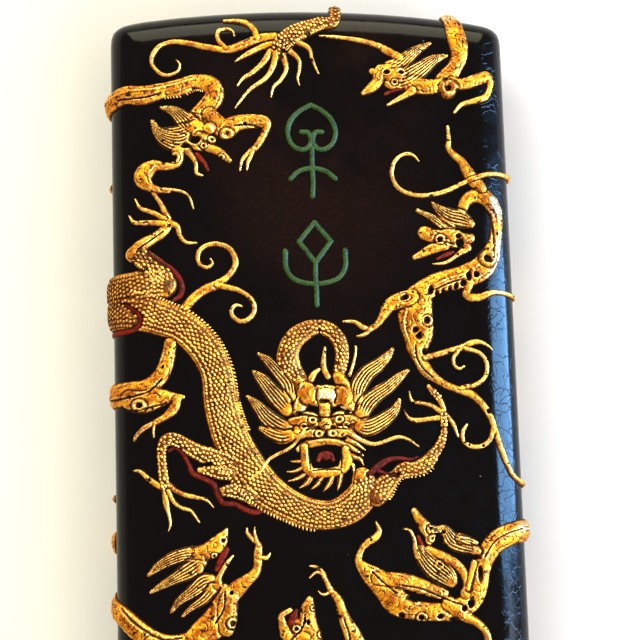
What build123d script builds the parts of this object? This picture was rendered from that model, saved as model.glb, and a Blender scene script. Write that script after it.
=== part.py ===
"""Carved ink stick: one arched, round-edged cake of ink carrying dragons in low relief on both faces."""

import os
from functools import lru_cache

from build123d import *

# ---- driving sizes, mm ------------------------------------------------------------------------
width = 76.0  # across the cake, X
length = 158.0  # along the cake, Y, over both arched ends
thickness = 18.0  # of the plain cake, Z
edge_radius = 6.5  # roundover between each face and the sides
corner_radius = 3.2  # plan corners
arch_rise = 3.2  # swell of each end beyond its corners
relief_high = 1.4  # bodies, heads, limbs
relief_mid = 1.1  # manes, tails, horns
relief_low = 0.7  # flames, tongues, line ornaments
skirt_share = 0.6  # height of a figure's outer step over its full height
crown_share = 0.6  # width of a figure's upper step over its full width

# ---- derived ----------------------------------------------------------------------------------
back_z = relief_high  # the relief on the back is what the stick lies on, so its crown is at z = 0
mid = back_z + thickness / 2
arch_radius = ((width / 2) ** 2 + arch_rise**2) / (2 * arch_rise)
scale_x, scale_y = width / 76.0, length / 158.0  # the figures are drawn on a 76 x 158 field
scale_w = min(scale_x, scale_y)

# ---- the figures: strokes of (x, y, half width), centre of the field at (0, 0) ------------------
great_dragon = {
    "body": [
        [(-40, 20.5, 3.6), (-34, 20, 3.5), (-29.5, 18.7, 3.3), (-25.2, 16.8, 3.1), (-21.6, 13.2, 3.1),
         (-19.3, 8.5, 3), (-18.6, 3, 3.2), (-17.4, -2, 3.4), (-15.8, -6, 3.5), (-13.2, -10.4, 3.6),
         (-10.2, -13.6, 3.3), (-6.5, -16, 2.9), (-2.5, -17.7, 2.8), (1.5, -17.9, 2.7), (5, -16.4, 3),
         (7.2, -13.8, 2.8), (6.9, -11.4, 1.9)],
        [(-4.6, 6.8, 2), (-5.9, 9, 2.3), (-6.1, 11.6, 2.1), (-5, 14.1, 2), (-2.8, 15.8, 1.8),
         (-0.4, 16.5, 1.4), (1.6, 15.9, 1.5), (3.2, 14.3, 1.5), (3.9, 12.2, 1.4), (3.8, 10, 1.3),
         (3.2, 7.8, 1.2)],
    ],
    "head": [
        [(-4.2, 6.4, 1.2), (-3.2, 4.6, 1.9), (-4, 2.2, 1.6), (-4.9, 0.8, 1.1)],
        [(-2.6, 3.6, 2), (0.7, 3.4, 2.6), (3.6, 3.4, 2), (5, 1.6, 1.3)],
        [(3.2, 7, 1.3), (4, 5, 1.3), (4.6, 3, 1.3)],
        [(-5.2, -0.9, 1.1), (-2.4, -0.6, 1.5), (0.5, -0.5, 1.6), (3.4, -0.6, 1.5), (5.8, -0.9, 1.1)],
        [(-4.9, -3.2, 1.2), (-2.4, -2.9, 1.6), (0.5, -3, 2), (3, -2.9, 1.6), (4.8, -3.2, 1.1)],
        [(-3.6, -5.2, 0.9), (-1.5, -4.9, 0.7), (0.5, -4.9, 0.6), (2.4, -5.1, 0.6), (4.2, -5.6, 0.7),
         (5.8, -6.4, 0.45), (7.2, -7.4, 0.2)],
        [(-3.5, -5.2, 0.9), (-3.4, -7.4, 1), (-3.3, -9, 1), (-2.4, -10.2, 1), (-0.4, -10.4, 0.9),
         (1.6, -10.3, 0.9), (3.2, -9.8, 1), (4.1, -8.2, 1.3), (3.9, -6.2, 0.8)],
    ],
    "mane_left": [
        [(-11.5, 11.7, 0.4), (-9.8, 10.3, 1), (-8, 8.2, 1.3), (-6.4, 6, 1.5), (-5.9, 3.6, 1.3)],
        [(-12.5, 8.4, 0.45), (-11, 7, 1.2), (-9.5, 5, 1.6), (-8, 3.2, 1.8), (-6.6, 1.4, 1.4)],
        [(-13.7, 3.9, 0.4), (-12, 2.2, 1.1), (-10.4, 0.2, 1.6), (-8.6, -1.4, 1.9), (-7, -2.2, 1.7)],
        [(-11.4, -2, 0.6), (-9.6, -3, 1.1), (-7.6, -3.7, 1.3), (-6, -3.4, 1.1)],
    ],
    "mane_right": [
        [(13.4, 12.1, 0.45), (12.4, 10.8, 0.9), (10.6, 9.2, 1.3), (8.4, 7.6, 1.6), (6.8, 5.4, 1.7),
         (6.4, 3, 1.3)],
        [(16, 8, 0.5), (14.2, 6.6, 1), (12.2, 5, 1.3), (10, 3.6, 1.5), (8.2, 2, 1.7), (7.2, 0.2, 1.5)],
        [(14.3, 2.6, 0.45), (13.4, 0.8, 1), (11.8, -0.6, 1.4), (9.8, -1.8, 1.6), (8, -2.3, 1.7),
         (6.8, -2, 1.3)],
    ],
    "horns": [
        [(0.8, 12.6, 0.3), (0.5, 10.6, 0.5), (0.5, 8.8, 0.6), (1.2, 7.2, 0.6)],
        [(6.5, 12.7, 0.3), (6.4, 11.2, 0.3), (5.9, 9.4, 0.35), (5.2, 7.4, 0.4)],
        [(-0.4, 8.6, 0.35), (-1.4, 7.8, 0.6), (-2, 6.8, 0.7)],
    ],
    "beard": [
        [(-6.2, -8.1, 0.15), (-5, -8.2, 0.35), (-3.6, -8.2, 0.5)],
        [(-6.9, -10, 0.15), (-5.4, -9.9, 0.35), (-3.8, -9.2, 0.5)],
        [(-6.7, -11.7, 0.15), (-5, -11.3, 0.4), (-3, -10.2, 0.6)],
        [(-4.7, -13, 0.15), (-3.4, -12.2, 0.5), (-2.4, -10.6, 0.7)],
        [(-2.6, -13.3, 0.15), (-1.4, -12.4, 0.45), (-0.4, -10.8, 0.6)],
        [(-0.4, -13.8, 0.15), (0.7, -12.5, 0.5), (1.5, -10.6, 0.6)],
        [(2.3, -13.6, 0.15), (2.7, -12.1, 0.5), (3, -10.2, 0.6)],
        [(5.4, -10.5, 0.2), (5.2, -9.3, 0.5), (4.5, -8.2, 0.6)],
        [(7.2, -9.2, 0.15), (6.6, -8, 0.45), (5, -7.4, 0.6)],
    ],
    "whiskers": [
        [(-3.6, -2.6, 0.3), (-5.3, -4.9, 0.3), (-6.8, -6, 0.3), (-8.4, -6.7, 0.3), (-10, -7.6, 0.3),
         (-11, -8.8, 0.3), (-12, -10, 0.25), (-13.4, -11, 0.2)],
        [(4.4, -3, 0.4), (6, -4, 0.45), (8.4, -5.2, 0.4), (10, -5.3, 0.35), (11.6, -4.8, 0.35),
         (13.8, -4.2, 0.35), (15.6, -4.6, 0.25), (17.6, -6, 0.15)],
    ],
    "upper_hind_leg": [
        [(-40, 24.2, 3), (-35, 24.4, 2.9), (-31.5, 24.9, 2.9), (-28.8, 24.9, 2.7)],
        [(-28.7, 25.2, 2.5), (-29.4, 26.9, 2.3), (-30.8, 28.4, 2.1), (-32.3, 29.7, 1.9), (-33.6, 30.6, 1.6)],
        [(-34, 30.5, 1.5), (-32.4, 32.2, 1.2), (-30.6, 33.3, 1), (-28.9, 34.4, 1), (-27.8, 35.8, 1),
         (-27.7, 37, 0.8), (-28.8, 39.8, 0.5), (-30.2, 42, 0.5)],
        [(-27.8, 36.4, 0.7), (-29.4, 37.8, 0.6), (-31.2, 38.6, 0.5), (-32.6, 39.2, 0.4), (-33.5, 40.9, 0.2)],
        [(-28, 36, 0.7), (-30, 36.4, 0.6), (-32.4, 36.4, 0.5), (-33.8, 36.6, 0.4), (-34.6, 37.9, 0.2)],
        [(-27.2, 36.4, 0.7), (-25.9, 35.6, 0.55), (-25.5, 34, 0.5), (-24.4, 32.7, 0.4), (-22.4, 32.5, 0.2)],
    ],
    "lower_hind_leg": [
        [(-16.4, -9, 1.6), (-18.2, -8.2, 2.1), (-20.2, -7.2, 1.9), (-22.6, -6.2, 1.6), (-24.8, -4.9, 1.4),
         (-26.6, -3.8, 1.3), (-28.2, -3.5, 1.2), (-29.3, -4.6, 0.95), (-29.5, -6.2, 0.85),
         (-29.4, -8, 0.85), (-29.2, -10, 0.9), (-28.9, -12, 0.9)],
        [(-17, -10.2, 1.2), (-19.4, -9.8, 1.2), (-21.2, -9.4, 0.9), (-22.6, -9.2, 0.6)],
        [(-13.2, -14.6, 1.5), (-15.2, -13.4, 1.6), (-17, -13.1, 1.4), (-18.6, -13.2, 0.9)],
        [(-29.4, -12.2, 0.7), (-31, -11.2, 0.6), (-32.2, -10.2, 0.5), (-33.4, -9.1, 0.4), (-34.4, -9, 0.2)],
        [(-29, -12, 0.7), (-28.8, -15, 0.6), (-28.4, -16.8, 0.4), (-28.1, -18.6, 0.3), (-28.5, -20, 0.15)],
        [(-28.3, -11.8, 0.7), (-27, -12.8, 0.5), (-25.4, -13.6, 0.5), (-23.4, -14.1, 0.45),
         (-21.6, -14.6, 0.35), (-20.3, -16, 0.15)],
        [(-28.4, -12.8, 0.5), (-27.4, -14.8, 0.45), (-26, -15.9, 0.4), (-24.4, -16.5, 0.4),
         (-22.9, -18.6, 0.2)],
    ],
    "foreleg": [
        [(9.4, -14.6, 2.2), (11, -13, 2), (13, -11.4, 1.2), (14.6, -10.2, 1.4), (16.8, -10.1, 1.4),
         (18.8, -9.2, 1.5), (20.3, -7.5, 1.1), (21.5, -5.9, 0.9), (22.4, -3.4, 0.6), (22.4, -0.8, 0.7),
         (22.4, 1, 0.55), (21.8, 2.6, 0.6), (20.6, 4, 0.6), (19.9, 5, 0.5)],
        [(22, 0.2, 0.6), (20.4, 1.4, 0.45), (18.6, 1.9, 0.4), (16.7, 2.4, 0.35), (16.2, 4.2, 0.15)],
        [(22, -0.8, 0.6), (19.8, -1, 0.5), (17.4, -1.2, 0.5), (15.9, -0.7, 0.35), (15.1, 0.8, 0.15)],
        [(22.8, -0.2, 0.5), (24.2, -2, 0.45), (25, -4.4, 0.25)],
    ],
    "tail": [
        [(-24.8, 20.6, 0.9), (-22.8, 22.6, 0.9), (-20.8, 23.9, 0.9), (-18.8, 24.7, 0.9), (-17, 26, 0.6),
         (-15.8, 27.4, 0.6), (-15.3, 28.8, 0.6), (-15.7, 30.4, 0.6), (-16.8, 31.7, 0.55),
         (-18.6, 32.3, 0.5), (-20.4, 32.1, 0.5), (-21.8, 31.2, 0.5), (-22.3, 29.8, 0.5),
         (-21.8, 28.4, 0.45), (-20.6, 27.9, 0.4), (-19.6, 28.6, 0.35), (-19.9, 29.5, 0.25)],
        [(-18.8, 24.5, 0.6), (-17, 24.2, 0.6), (-15.2, 23.7, 0.55), (-13.6, 22.8, 0.5), (-12.4, 21.6, 0.5),
         (-12, 20.1, 0.5), (-12.5, 18.8, 0.5), (-13.7, 17.9, 0.5), (-15, 17.9, 0.5), (-16.1, 18.8, 0.5),
         (-16.3, 19.9, 0.45), (-15.5, 20.8, 0.4), (-14.3, 20.6, 0.25)],
    ],
}
flames = [
    [(-31.2, 31, 0.35), (-30.9, 30.3, 0.4), (-29.4, 29.3, 0.4), (-27.4, 28, 0.45), (-25.9, 26.3, 0.5),
     (-25.2, 24.4, 0.5), (-25.6, 22.8, 0.5), (-26.8, 21.9, 0.35)],
    [(-35.8, 21.6, 0.3), (-34.2, 20.4, 0.45), (-33.1, 19.2, 0.5), (-32.9, 18, 0.5), (-33.6, 17, 0.5),
     (-35.4, 16.4, 0.5), (-39.5, 16.3, 0.5)],
    [(-28.2, -5.6, 0.3), (-27, -5.1, 0.35), (-25.6, -6.2, 0.35), (-24.6, -8.2, 0.4), (-23.8, -9.8, 0.5),
     (-21.6, -10.9, 0.5), (-20.2, -11.8, 0.5), (-19.6, -13.4, 0.5), (-18.6, -15.2, 0.5),
     (-16.4, -15.5, 0.5), (-14.6, -16.5, 0.5), (-12.8, -17.1, 0.5), (-11.6, -16.8, 0.4)],
    [(8.2, -10.9, 0.5), (10, -9.4, 0.6), (12, -8.3, 0.5), (14, -8.1, 0.4), (16, -8.4, 0.35),
     (17.4, -8, 0.25)],
    [(10, -10.3, 0.4), (11.6, -10.9, 0.3), (13.4, -11.1, 0.25)],
]
over_top_leg = [
    [(5.5, 81.5, 1.2), (4.6, 75.4, 1.1), (2, 74.7, 1.3), (-1, 73.6, 1.6), (-3.5, 72.4, 1.9),
     (-5.5, 70.8, 1.9), (-6.4, 69, 1.5)],
    [(-6.6, 70.6, 0.9), (-8.6, 70.3, 0.7), (-10.6, 69.5, 0.6), (-12.6, 68.4, 0.5), (-14.6, 67.2, 0.2)],
    [(-7.8, 69, 0.8), (-9.4, 66.8, 0.6), (-11.5, 64.9, 0.5), (-13, 64, 0.4), (-14.2, 62.5, 0.2)],
    [(-6.8, 68.6, 0.8), (-7.5, 66, 0.6), (-9, 63.8, 0.5), (-12, 61.6, 0.4), (-14.8, 58.1, 0.2)],
    [(-5.6, 68.6, 0.8), (-4.9, 65.8, 0.5), (-6, 63.6, 0.4), (-7.4, 62.2, 0.35), (-7.9, 60.3, 0.2)],
    [(-4.4, 69.6, 0.7), (-2.5, 67.6, 0.45), (-2.4, 65.6, 0.4), (-2.8, 64, 0.3), (-2.5, 62.6, 0.2)],
    [(-3.4, 71.4, 0.7), (-0.6, 69.9, 0.5), (0, 68, 0.4), (0.6, 66.3, 0.3), (1.2, 64.9, 0.2)],
]
over_top_tail = [
    [(-7, 72.1, 0.9), (-10, 71.7, 0.9), (-12.5, 70.6, 0.9), (-16, 69.5, 0.75), (-20, 70, 0.65),
     (-23, 70.7, 0.6), (-26, 71, 0.55), (-28.5, 70.2, 0.5), (-30, 68.3, 0.5), (-30, 66.5, 0.45),
     (-28.5, 64.8, 0.45), (-27, 64.5, 0.4), (-25.3, 65.3, 0.35), (-24.9, 66.5, 0.3), (-25.6, 67.6, 0.2)],
    [(-16.2, 69.8, 0.5), (-17.6, 71.4, 0.5), (-17.6, 73, 0.45), (-16.2, 73.6, 0.4), (-14.9, 73.2, 0.3),
     (-14.6, 72.2, 0.2)],
    [(-10.3, 71.9, 0.7), (-10.8, 73.4, 0.65), (-12, 74.7, 0.6), (-14, 75.3, 0.5), (-16.4, 75.3, 0.3)],
]
young_dragons = {
    "top_left": [
        [(-39.6, 59.8, 2.1), (-35, 60.9, 1.8), (-32, 60.6, 1.9), (-28, 61.6, 1.5), (-25, 62.2, 1.7),
         (-22, 63.2, 1.5), (-19.3, 62.6, 1.8), (-18.6, 60.6, 1.9), (-20, 58.4, 1.8), (-22, 56, 2)],
        [(-28.6, 58.3, 0.35), (-26, 57.4, 1.2), (-24, 55.4, 1.9), (-22.6, 53.8, 2)],
        [(-30.2, 55.6, 0.5), (-29, 53.4, 1.2), (-27, 52.4, 2.2), (-24.8, 52.4, 2.6), (-22.6, 53.6, 1.8)],
        [(-22.4, 54.6, 1.6), (-21, 54.4, 1.5), (-19.8, 54, 1.2)],
        [(-21.4, 52.4, 1.1), (-20.2, 52.2, 1), (-19.2, 52, 0.8)],
        [(-22, 51, 1), (-20, 50.6, 0.9), (-18.2, 49.9, 0.9), (-17, 48.9, 0.8), (-16, 48.1, 0.5)],
        [(-24.6, 50.6, 0.9), (-23.2, 49.2, 0.6), (-22.3, 47.6, 0.45), (-22.2, 45.8, 0.4), (-21.2, 45.3, 0.3)],
        [(-19.4, 56.6, 1.6), (-17, 54.2, 2), (-14.6, 55.2, 1.6), (-12, 55.6, 1.4), (-9.4, 55.4, 1.3),
         (-9, 54.2, 0.8), (-9.6, 52.8, 0.7), (-10.7, 51, 0.7), (-12.2, 49.6, 0.6), (-13.6, 48.2, 0.4),
         (-14.1, 46.2, 0.2)],
        [(-11.4, 50.4, 0.5), (-12, 49, 0.45), (-12.6, 47.6, 0.4), (-12.8, 46.2, 0.2)],
        [(-25.6, 49.8, 1.2), (-25.2, 48.3, 0.7), (-26, 47.3, 0.7), (-28, 47, 0.8), (-30, 47.2, 1.1),
         (-31.6, 46, 1.6), (-32.1, 44.6, 1.6), (-31, 43.2, 1), (-29.4, 42.6, 0.7), (-27.4, 42.4, 0.5)],
        [(-28.4, 42.7, 0.45), (-26.8, 42.6, 0.35), (-24.9, 42.2, 0.35), (-23.6, 41.2, 0.3), (-22.9, 39, 0.2)],
    ],
    "top_right": [
        [(27.4, 81.5, 1.8), (27.9, 74, 1.9), (28.1, 72, 2), (28.5, 70, 1.8), (28.3, 67.8, 1.6),
         (27, 65.4, 1.6), (25.6, 63.2, 2.2), (25.8, 61.6, 1.8)],
        [(22.8, 70.8, 0.4), (20.4, 69.6, 1), (17.6, 67.4, 1.6), (15.2, 65.6, 2)],
        [(26, 68.4, 0.4), (23.2, 67.4, 1.2), (20.4, 65.4, 1.8), (17.8, 63.8, 2.2), (15.4, 63.6, 2)],
        [(24.6, 62.4, 1.4), (21.6, 62.3, 1.6), (18.8, 62.6, 1.7)],
        [(16.2, 64.6, 1.8), (13.2, 65.2, 1.5), (12.6, 63.6, 1.1), (11.4, 62.2, 1), (9.6, 61, 0.5)],
        [(19, 61.4, 0.8), (16.6, 60, 0.55), (14.2, 58.7, 0.3)],
        [(26.6, 62.8, 1.3), (29, 62.8, 1.2), (31.6, 63.6, 1.2), (33.6, 64.3, 1.1), (34.2, 62.8, 0.7),
         (33.3, 60.4, 0.7), (31, 59.5, 0.6), (28.6, 58.8, 0.5), (27, 57.2, 0.3)],
        [(14, 69.8, 0.7), (11, 71, 0.6), (8, 71.6, 0.5), (5, 72, 0.4), (1.6, 72.3, 0.2)],
        [(16.8, 68, 0.9), (14, 69.6, 0.8)],
    ],
    "right": [
        [(27.6, 38.2, 1), (28.5, 40, 1.2), (30.4, 41, 1.4), (32.5, 40.4, 1.6), (33.8, 38.6, 1.5),
         (34.2, 36.3, 1.3), (34, 34, 1.2), (33.5, 31.6, 1.4), (32.4, 29, 2), (30.4, 26.8, 2.3),
         (27, 25.4, 2.2), (22.8, 24.5, 2), (19.4, 22.6, 2.2), (18, 20, 3.2), (18, 17.2, 3.3),
         (18.3, 14.8, 2.8), (18, 12.3, 2), (18.4, 10.2, 1.3), (19.4, 8.2, 1.3), (21, 6.6, 0.9),
         (23.2, 5.2, 0.75), (25.6, 4.2, 0.7), (27.8, 3.4, 0.8), (29.4, 2, 0.7), (30.7, 0.2, 0.65),
         (31.6, -1.8, 0.6), (32.3, -4.4, 0.6), (33.2, -7.5, 0.55), (34.2, -10, 0.5), (35.6, -12.2, 0.5),
         (39.6, -14.5, 0.6)],
        [(19.2, 38.2, 0.5), (21.2, 37.2, 0.7), (23.4, 35.8, 1.2), (25, 34.6, 1.4)],
        [(22, 39.7, 0.35), (23.4, 38.2, 1.1), (25.4, 37, 1.7), (27.6, 36.4, 1.7), (29.2, 35.6, 0.9)],
        [(20.3, 33.9, 1.4), (22.4, 33.2, 1.5), (25, 33, 1.8), (27.4, 32.6, 1.6), (28.8, 32.8, 1.1)],
        [(24, 31.6, 1.1), (21.6, 31, 1.1), (19.8, 30, 0.8), (18.2, 29.3, 0.5)],
        [(28.4, 31, 0.8), (26.6, 29.8, 0.5), (25.2, 28.8, 0.4), (23.6, 28.1, 0.35), (21.6, 28, 0.2)],
        [(17.2, 21.8, 1.4), (15.2, 21.2, 1.6), (13.2, 20.3, 1.3), (12, 18.6, 0.9), (10.8, 16.9, 0.65),
         (9.2, 15.9, 0.6), (7.8, 16.4, 0.55), (6.4, 17.3, 0.45), (4.4, 17.4, 0.3)],
        [(9.4, 15.8, 0.5), (8.2, 14.9, 0.4), (6.8, 14.6, 0.2)],
        [(28.6, 24.2, 0.7), (27.8, 22, 0.8), (30, 21.5, 0.8), (32, 22.2, 0.6), (34.2, 22.5, 0.5),
         (39.5, 21.6, 0.35)],
        [(19.4, 10.4, 0.6), (22, 11, 0.6), (24.6, 11.7, 0.6), (26.8, 12.2, 0.7), (28.4, 13, 0.6),
         (30, 13.1, 0.45), (31.4, 12.4, 0.3), (32.2, 11.6, 0.15)],
        [(27, 11.9, 0.5), (28.8, 11.5, 0.45), (30.2, 10.7, 0.45), (31, 9.2, 0.45), (31, 7.6, 0.45),
         (30.3, 6.2, 0.45), (28.9, 5.2, 0.5), (27, 4.8, 0.5), (25.6, 4.6, 0.4)],
        [(25.6, 11.4, 0.5), (24.8, 10.2, 0.4), (24.9, 8.9, 0.4), (25.8, 8.2, 0.35), (26.7, 8.6, 0.25)],
        [(31.7, -3, 0.5), (31.2, -4.8, 0.5), (30, -6, 0.5), (28.6, -6.4, 0.5), (27, -6.1, 0.5),
         (25.9, -5, 0.45), (26, -3.4, 0.45), (26.8, -2.2, 0.25)],
        [(25.6, 54.4, 0.4), (25.7, 52, 0.5), (25.6, 50.2, 0.6), (26.6, 48.9, 0.7), (28, 47.6, 0.9),
         (28.9, 45.9, 1.1), (30.2, 43.9, 1.4), (31.6, 42.4, 1)],
        [(39.5, 45.3, 0.6), (34, 45.3, 0.5), (31.2, 44.7, 0.55), (28, 43.4, 0.5), (25.2, 42.1, 0.5),
         (22.8, 41.4, 0.5), (20, 41.1, 0.5), (18, 41.4, 0.5), (16, 42.3, 0.5), (14.9, 43.7, 0.45),
         (14.5, 45.4, 0.45), (14.9, 47.3, 0.45), (16.1, 48.7, 0.4), (17.6, 49.2, 0.4), (18.9, 48.8, 0.3),
         (19.7, 47.8, 0.2)],
    ],
    "left": [
        [(-27.6, 13.9, 1.2), (-27.9, 12, 1.3), (-28.5, 9.8, 1.4), (-29.6, 7.8, 1.5), (-32, 5.8, 1.7),
         (-35, 5, 2.2), (-39.5, 4.8, 2.3)],
        [(-34.8, 3.6, 1.9), (-32.6, 3.2, 2), (-30, 4, 1.8), (-28, 4, 1.2), (-25.4, 4.1, 0.4)],
        [(-26.6, 3.6, 0.9), (-27.2, 2, 1), (-28.6, 0.7, 0.7), (-30.5, -0.4, 0.6), (-32.5, -1.4, 0.5),
         (-33.8, -2.6, 0.4), (-34.3, -3.6, 0.25)],
        [(-30.6, -0.5, 0.35), (-30.9, -2, 0.3), (-30.8, -3.1, 0.2)],
    ],
    "lower_left": [
        [(-39.6, -32.4, 2), (-36.8, -34.8, 1.9), (-34, -37.4, 1.9), (-31, -39.3, 1.8), (-28, -40, 1.8),
         (-25, -39.5, 1.9), (-22.4, -37.8, 2.4), (-19.8, -35.8, 2.8), (-18.6, -33, 2.3), (-18.8, -31, 1.5)],
        [(-18.4, -37.6, 1.4), (-18.2, -35, 1.8), (-18, -32.6, 1.6), (-16.6, -30.8, 1.6), (-14.8, -29.3, 1.2),
         (-13.2, -28, 0.9), (-12.6, -26.4, 0.8), (-12.5, -24.4, 0.8), (-12.4, -22.8, 0.6),
         (-13.4, -21.8, 0.5), (-14.3, -20.8, 0.4), (-14.4, -19.9, 0.2)],
        [(-12.5, -22.8, 0.5), (-13, -21, 0.35), (-13, -19.7, 0.15)],
        [(-12.4, -25, 0.5), (-11, -25.3, 0.4), (-10.3, -24.5, 0.2)],
        [(-32.1, -27.6, 0.4), (-30.4, -26.2, 0.9), (-28, -24.9, 1.2), (-25.6, -24.3, 1.4), (-23, -24.4, 1.8)],
        [(-31.7, -30.6, 0.4), (-29.6, -29.4, 0.8), (-27.2, -28.2, 1.2), (-24.6, -26.8, 1.8),
         (-22.8, -25.6, 1.2)],
        [(-28.2, -34.2, 0.4), (-26.8, -32.4, 0.8), (-24.6, -30.9, 1.2), (-22.4, -29.4, 1.7),
         (-21, -29, 1.2)],
        [(-26.2, -35, 0.35), (-24.6, -33.6, 0.7), (-22.4, -32.2, 1), (-20.8, -30.4, 1.1)],
        [(-23.4, -24, 1.1), (-21.4, -23.7, 1.6), (-19.8, -22.6, 1.6), (-18.8, -21.3, 1), (-18, -19.9, 0.25)],
        [(-19.8, -29.8, 0.9), (-19.6, -28.4, 0.55), (-18.7, -26.8, 0.5), (-17.9, -25.7, 0.4),
         (-17, -24.7, 0.2)],
        [(-31.5, -39.6, 1.5), (-32.6, -43, 1.3), (-31, -46, 1), (-27.8, -47.6, 0.8), (-24.6, -47.2, 0.5),
         (-22.6, -45.6, 0.2)],
        [(-28.6, -47.4, 0.6), (-26.6, -49.6, 0.45), (-24.2, -50.6, 0.2)],
        [(-30, -46.6, 0.6), (-30.6, -49.4, 0.45), (-29.4, -51.6, 0.2)],
    ],
    "lower_centre": [
        [(-3.4, -33, 0.7), (-3.8, -34.6, 1.3), (-4, -37, 1.8), (-5, -40, 3.6), (-4.4, -44, 3.6),
         (-1, -47.6, 3.2), (4, -49.2, 2.9), (8.6, -51.2, 2.6), (10.2, -55, 2.3), (7.4, -58.6, 2.1),
         (2, -60, 1.9), (-4, -59.6, 1.8), (-9.6, -60.4, 1.7), (-13.6, -63.6, 1.5), (-13.6, -68, 1.2),
         (-10, -70.6, 0.9), (-6, -69.4, 0.7), (-5, -66.4, 0.4)],
        [(-7.8, -39, 1.2), (-8.4, -37, 0.8), (-8.5, -35.6, 0.6), (-7, -34.7, 0.5)],
        [(5, -46.4, 2), (5.2, -43, 1.9), (4.2, -39.6, 1.6), (3, -37, 1.2), (2.3, -35, 0.9),
         (1.8, -33.2, 0.8), (0.6, -31.6, 0.6), (-0.2, -30, 0.5), (-0.9, -28.3, 0.45), (-1.9, -27.3, 0.4),
         (-3.2, -27, 0.2)],
        [(-0.4, -29.6, 0.4), (-1.2, -28.4, 0.35), (-2.2, -28.2, 0.3), (-3.3, -29.1, 0.2)],
        [(0.6, -31.6, 0.4), (-0.4, -32.1, 0.3), (-1.2, -32.1, 0.25), (-1.8, -31.5, 0.15)],
        [(-18, -47.4, 0.5), (-15, -45.4, 1), (-11.6, -43.8, 1.3), (-7.8, -42.6, 1.4)],
        [(-17, -52, 0.5), (-13.6, -49.6, 1), (-10, -47.6, 1.3), (-6.4, -46, 1.4)],
    ],
    "lower_right": [
        [(39.6, -21.9, 2.1), (36, -22.2, 2.1), (33.5, -22.7, 2.1), (31, -24.1, 2), (29.3, -26.3, 1.8),
         (28.4, -29, 1.5), (27.6, -32, 1.7), (26, -34.4, 1.9), (23.2, -35.8, 1.9), (20, -36, 1.7),
         (16, -35.6, 1.8), (12.4, -34, 2.4), (10.8, -31.6, 2.5), (8.6, -29.6, 2), (6.8, -28, 1.3),
         (5.7, -26.4, 0.7), (6.3, -24.4, 0.6), (7.6, -23.1, 0.7), (9.1, -22.2, 0.7), (9.7, -21, 0.5),
         (9.1, -19.5, 0.2)],
        [(9, -29.6, 1.2), (12, -29.9, 1.3), (15, -30.6, 1.5), (18, -31.8, 1.4), (21, -32.8, 1.1)],
        [(22, -34.6, 1.4), (24.6, -36.8, 1.1), (27, -38.2, 0.8), (28.6, -40, 0.7), (29.4, -43, 0.7),
         (31.4, -46, 0.7), (35, -47.4, 0.65), (39.5, -47, 0.6)],
        [(16.3, -17.8, 0.7), (17.1, -19.2, 0.9), (18.2, -20.8, 1.2), (19, -22.2, 1.1), (18.8, -23.4, 0.7)],
        [(19.2, -21.2, 0.9), (20.6, -21.2, 0.7), (21.8, -21.4, 1), (22.9, -23.2, 1.6), (24.6, -24, 1.7),
         (26.2, -24.6, 1.4), (27.6, -25.4, 0.9)],
        [(24.6, -23, 1), (26.2, -23.4, 0.8), (27.6, -23.9, 0.4)],
        [(17.2, -25, 1.2), (18.4, -26.6, 2), (20, -28.2, 2.4), (21.8, -29.6, 2), (22.6, -30.6, 1.2)],
        [(18.6, -24.8, 0.8), (21, -26, 0.9), (23.4, -27.4, 0.9), (24.8, -29, 0.9), (25.4, -31, 0.7),
         (25, -33, 0.9)],
        [(16.6, -26, 0.6), (16.2, -24.6, 0.5), (16.1, -23, 0.4), (15.4, -21.3, 0.3), (14.1, -20.9, 0.2)],
        [(27, -27.4, 0.6), (26.3, -29.6, 0.6), (25.6, -32, 0.6)],
    ],
    "bottom": [
        [(39.6, -57.6, 2), (35, -57.2, 2.1), (30.6, -58.6, 2.2), (27.6, -62, 2.2), (27.2, -66.4, 2),
         (29.6, -70, 1.8), (33.4, -71, 1.5), (36, -68.6, 1.1), (35.4, -65.8, 0.8), (33.2, -65.2, 0.5)],
        [(28, -60.6, 1.8), (24.6, -61.4, 2.4), (21, -63.4, 2.6), (18.4, -65, 2), (15.4, -65.6, 1.2),
         (12.6, -66, 0.5)],
        [(19, -66.6, 1.1), (17, -68.2, 0.7), (14.8, -69, 0.3)],
        [(14.6, -58.4, 0.4), (17, -59, 1), (20, -60.6, 1.5), (22.4, -62, 1.5)],
        [(17.8, -55.2, 0.4), (20.4, -56.6, 1), (23, -58.8, 1.5), (24.6, -60.8, 1.5)],
        [(27, -66.6, 1.3), (23.4, -69.8, 1.1), (20.4, -72.6, 0.8), (17.2, -73.4, 0.5), (14, -72.6, 0.2)],
        [(-39.6, -60, 1.9), (-34.6, -59, 1.8), (-30, -57, 1.6), (-25.4, -58, 1.5), (-22.4, -61.4, 1.4),
         (-23.4, -65.6, 1.2), (-27.4, -67.4, 0.9), (-31, -65.8, 0.7), (-31, -63, 0.4)],
        [(-25, -66.6, 0.9), (-24.4, -69.8, 0.8), (-26.6, -72.2, 0.6), (-29.4, -73, 0.25)],
        [(4, -81.5, 1.4), (4.6, -76, 1.4), (3, -72.8, 1.2), (-0.4, -71.8, 1), (-2.2, -74, 0.8),
         (-0.8, -75.6, 0.4)],
    ],
}
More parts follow.
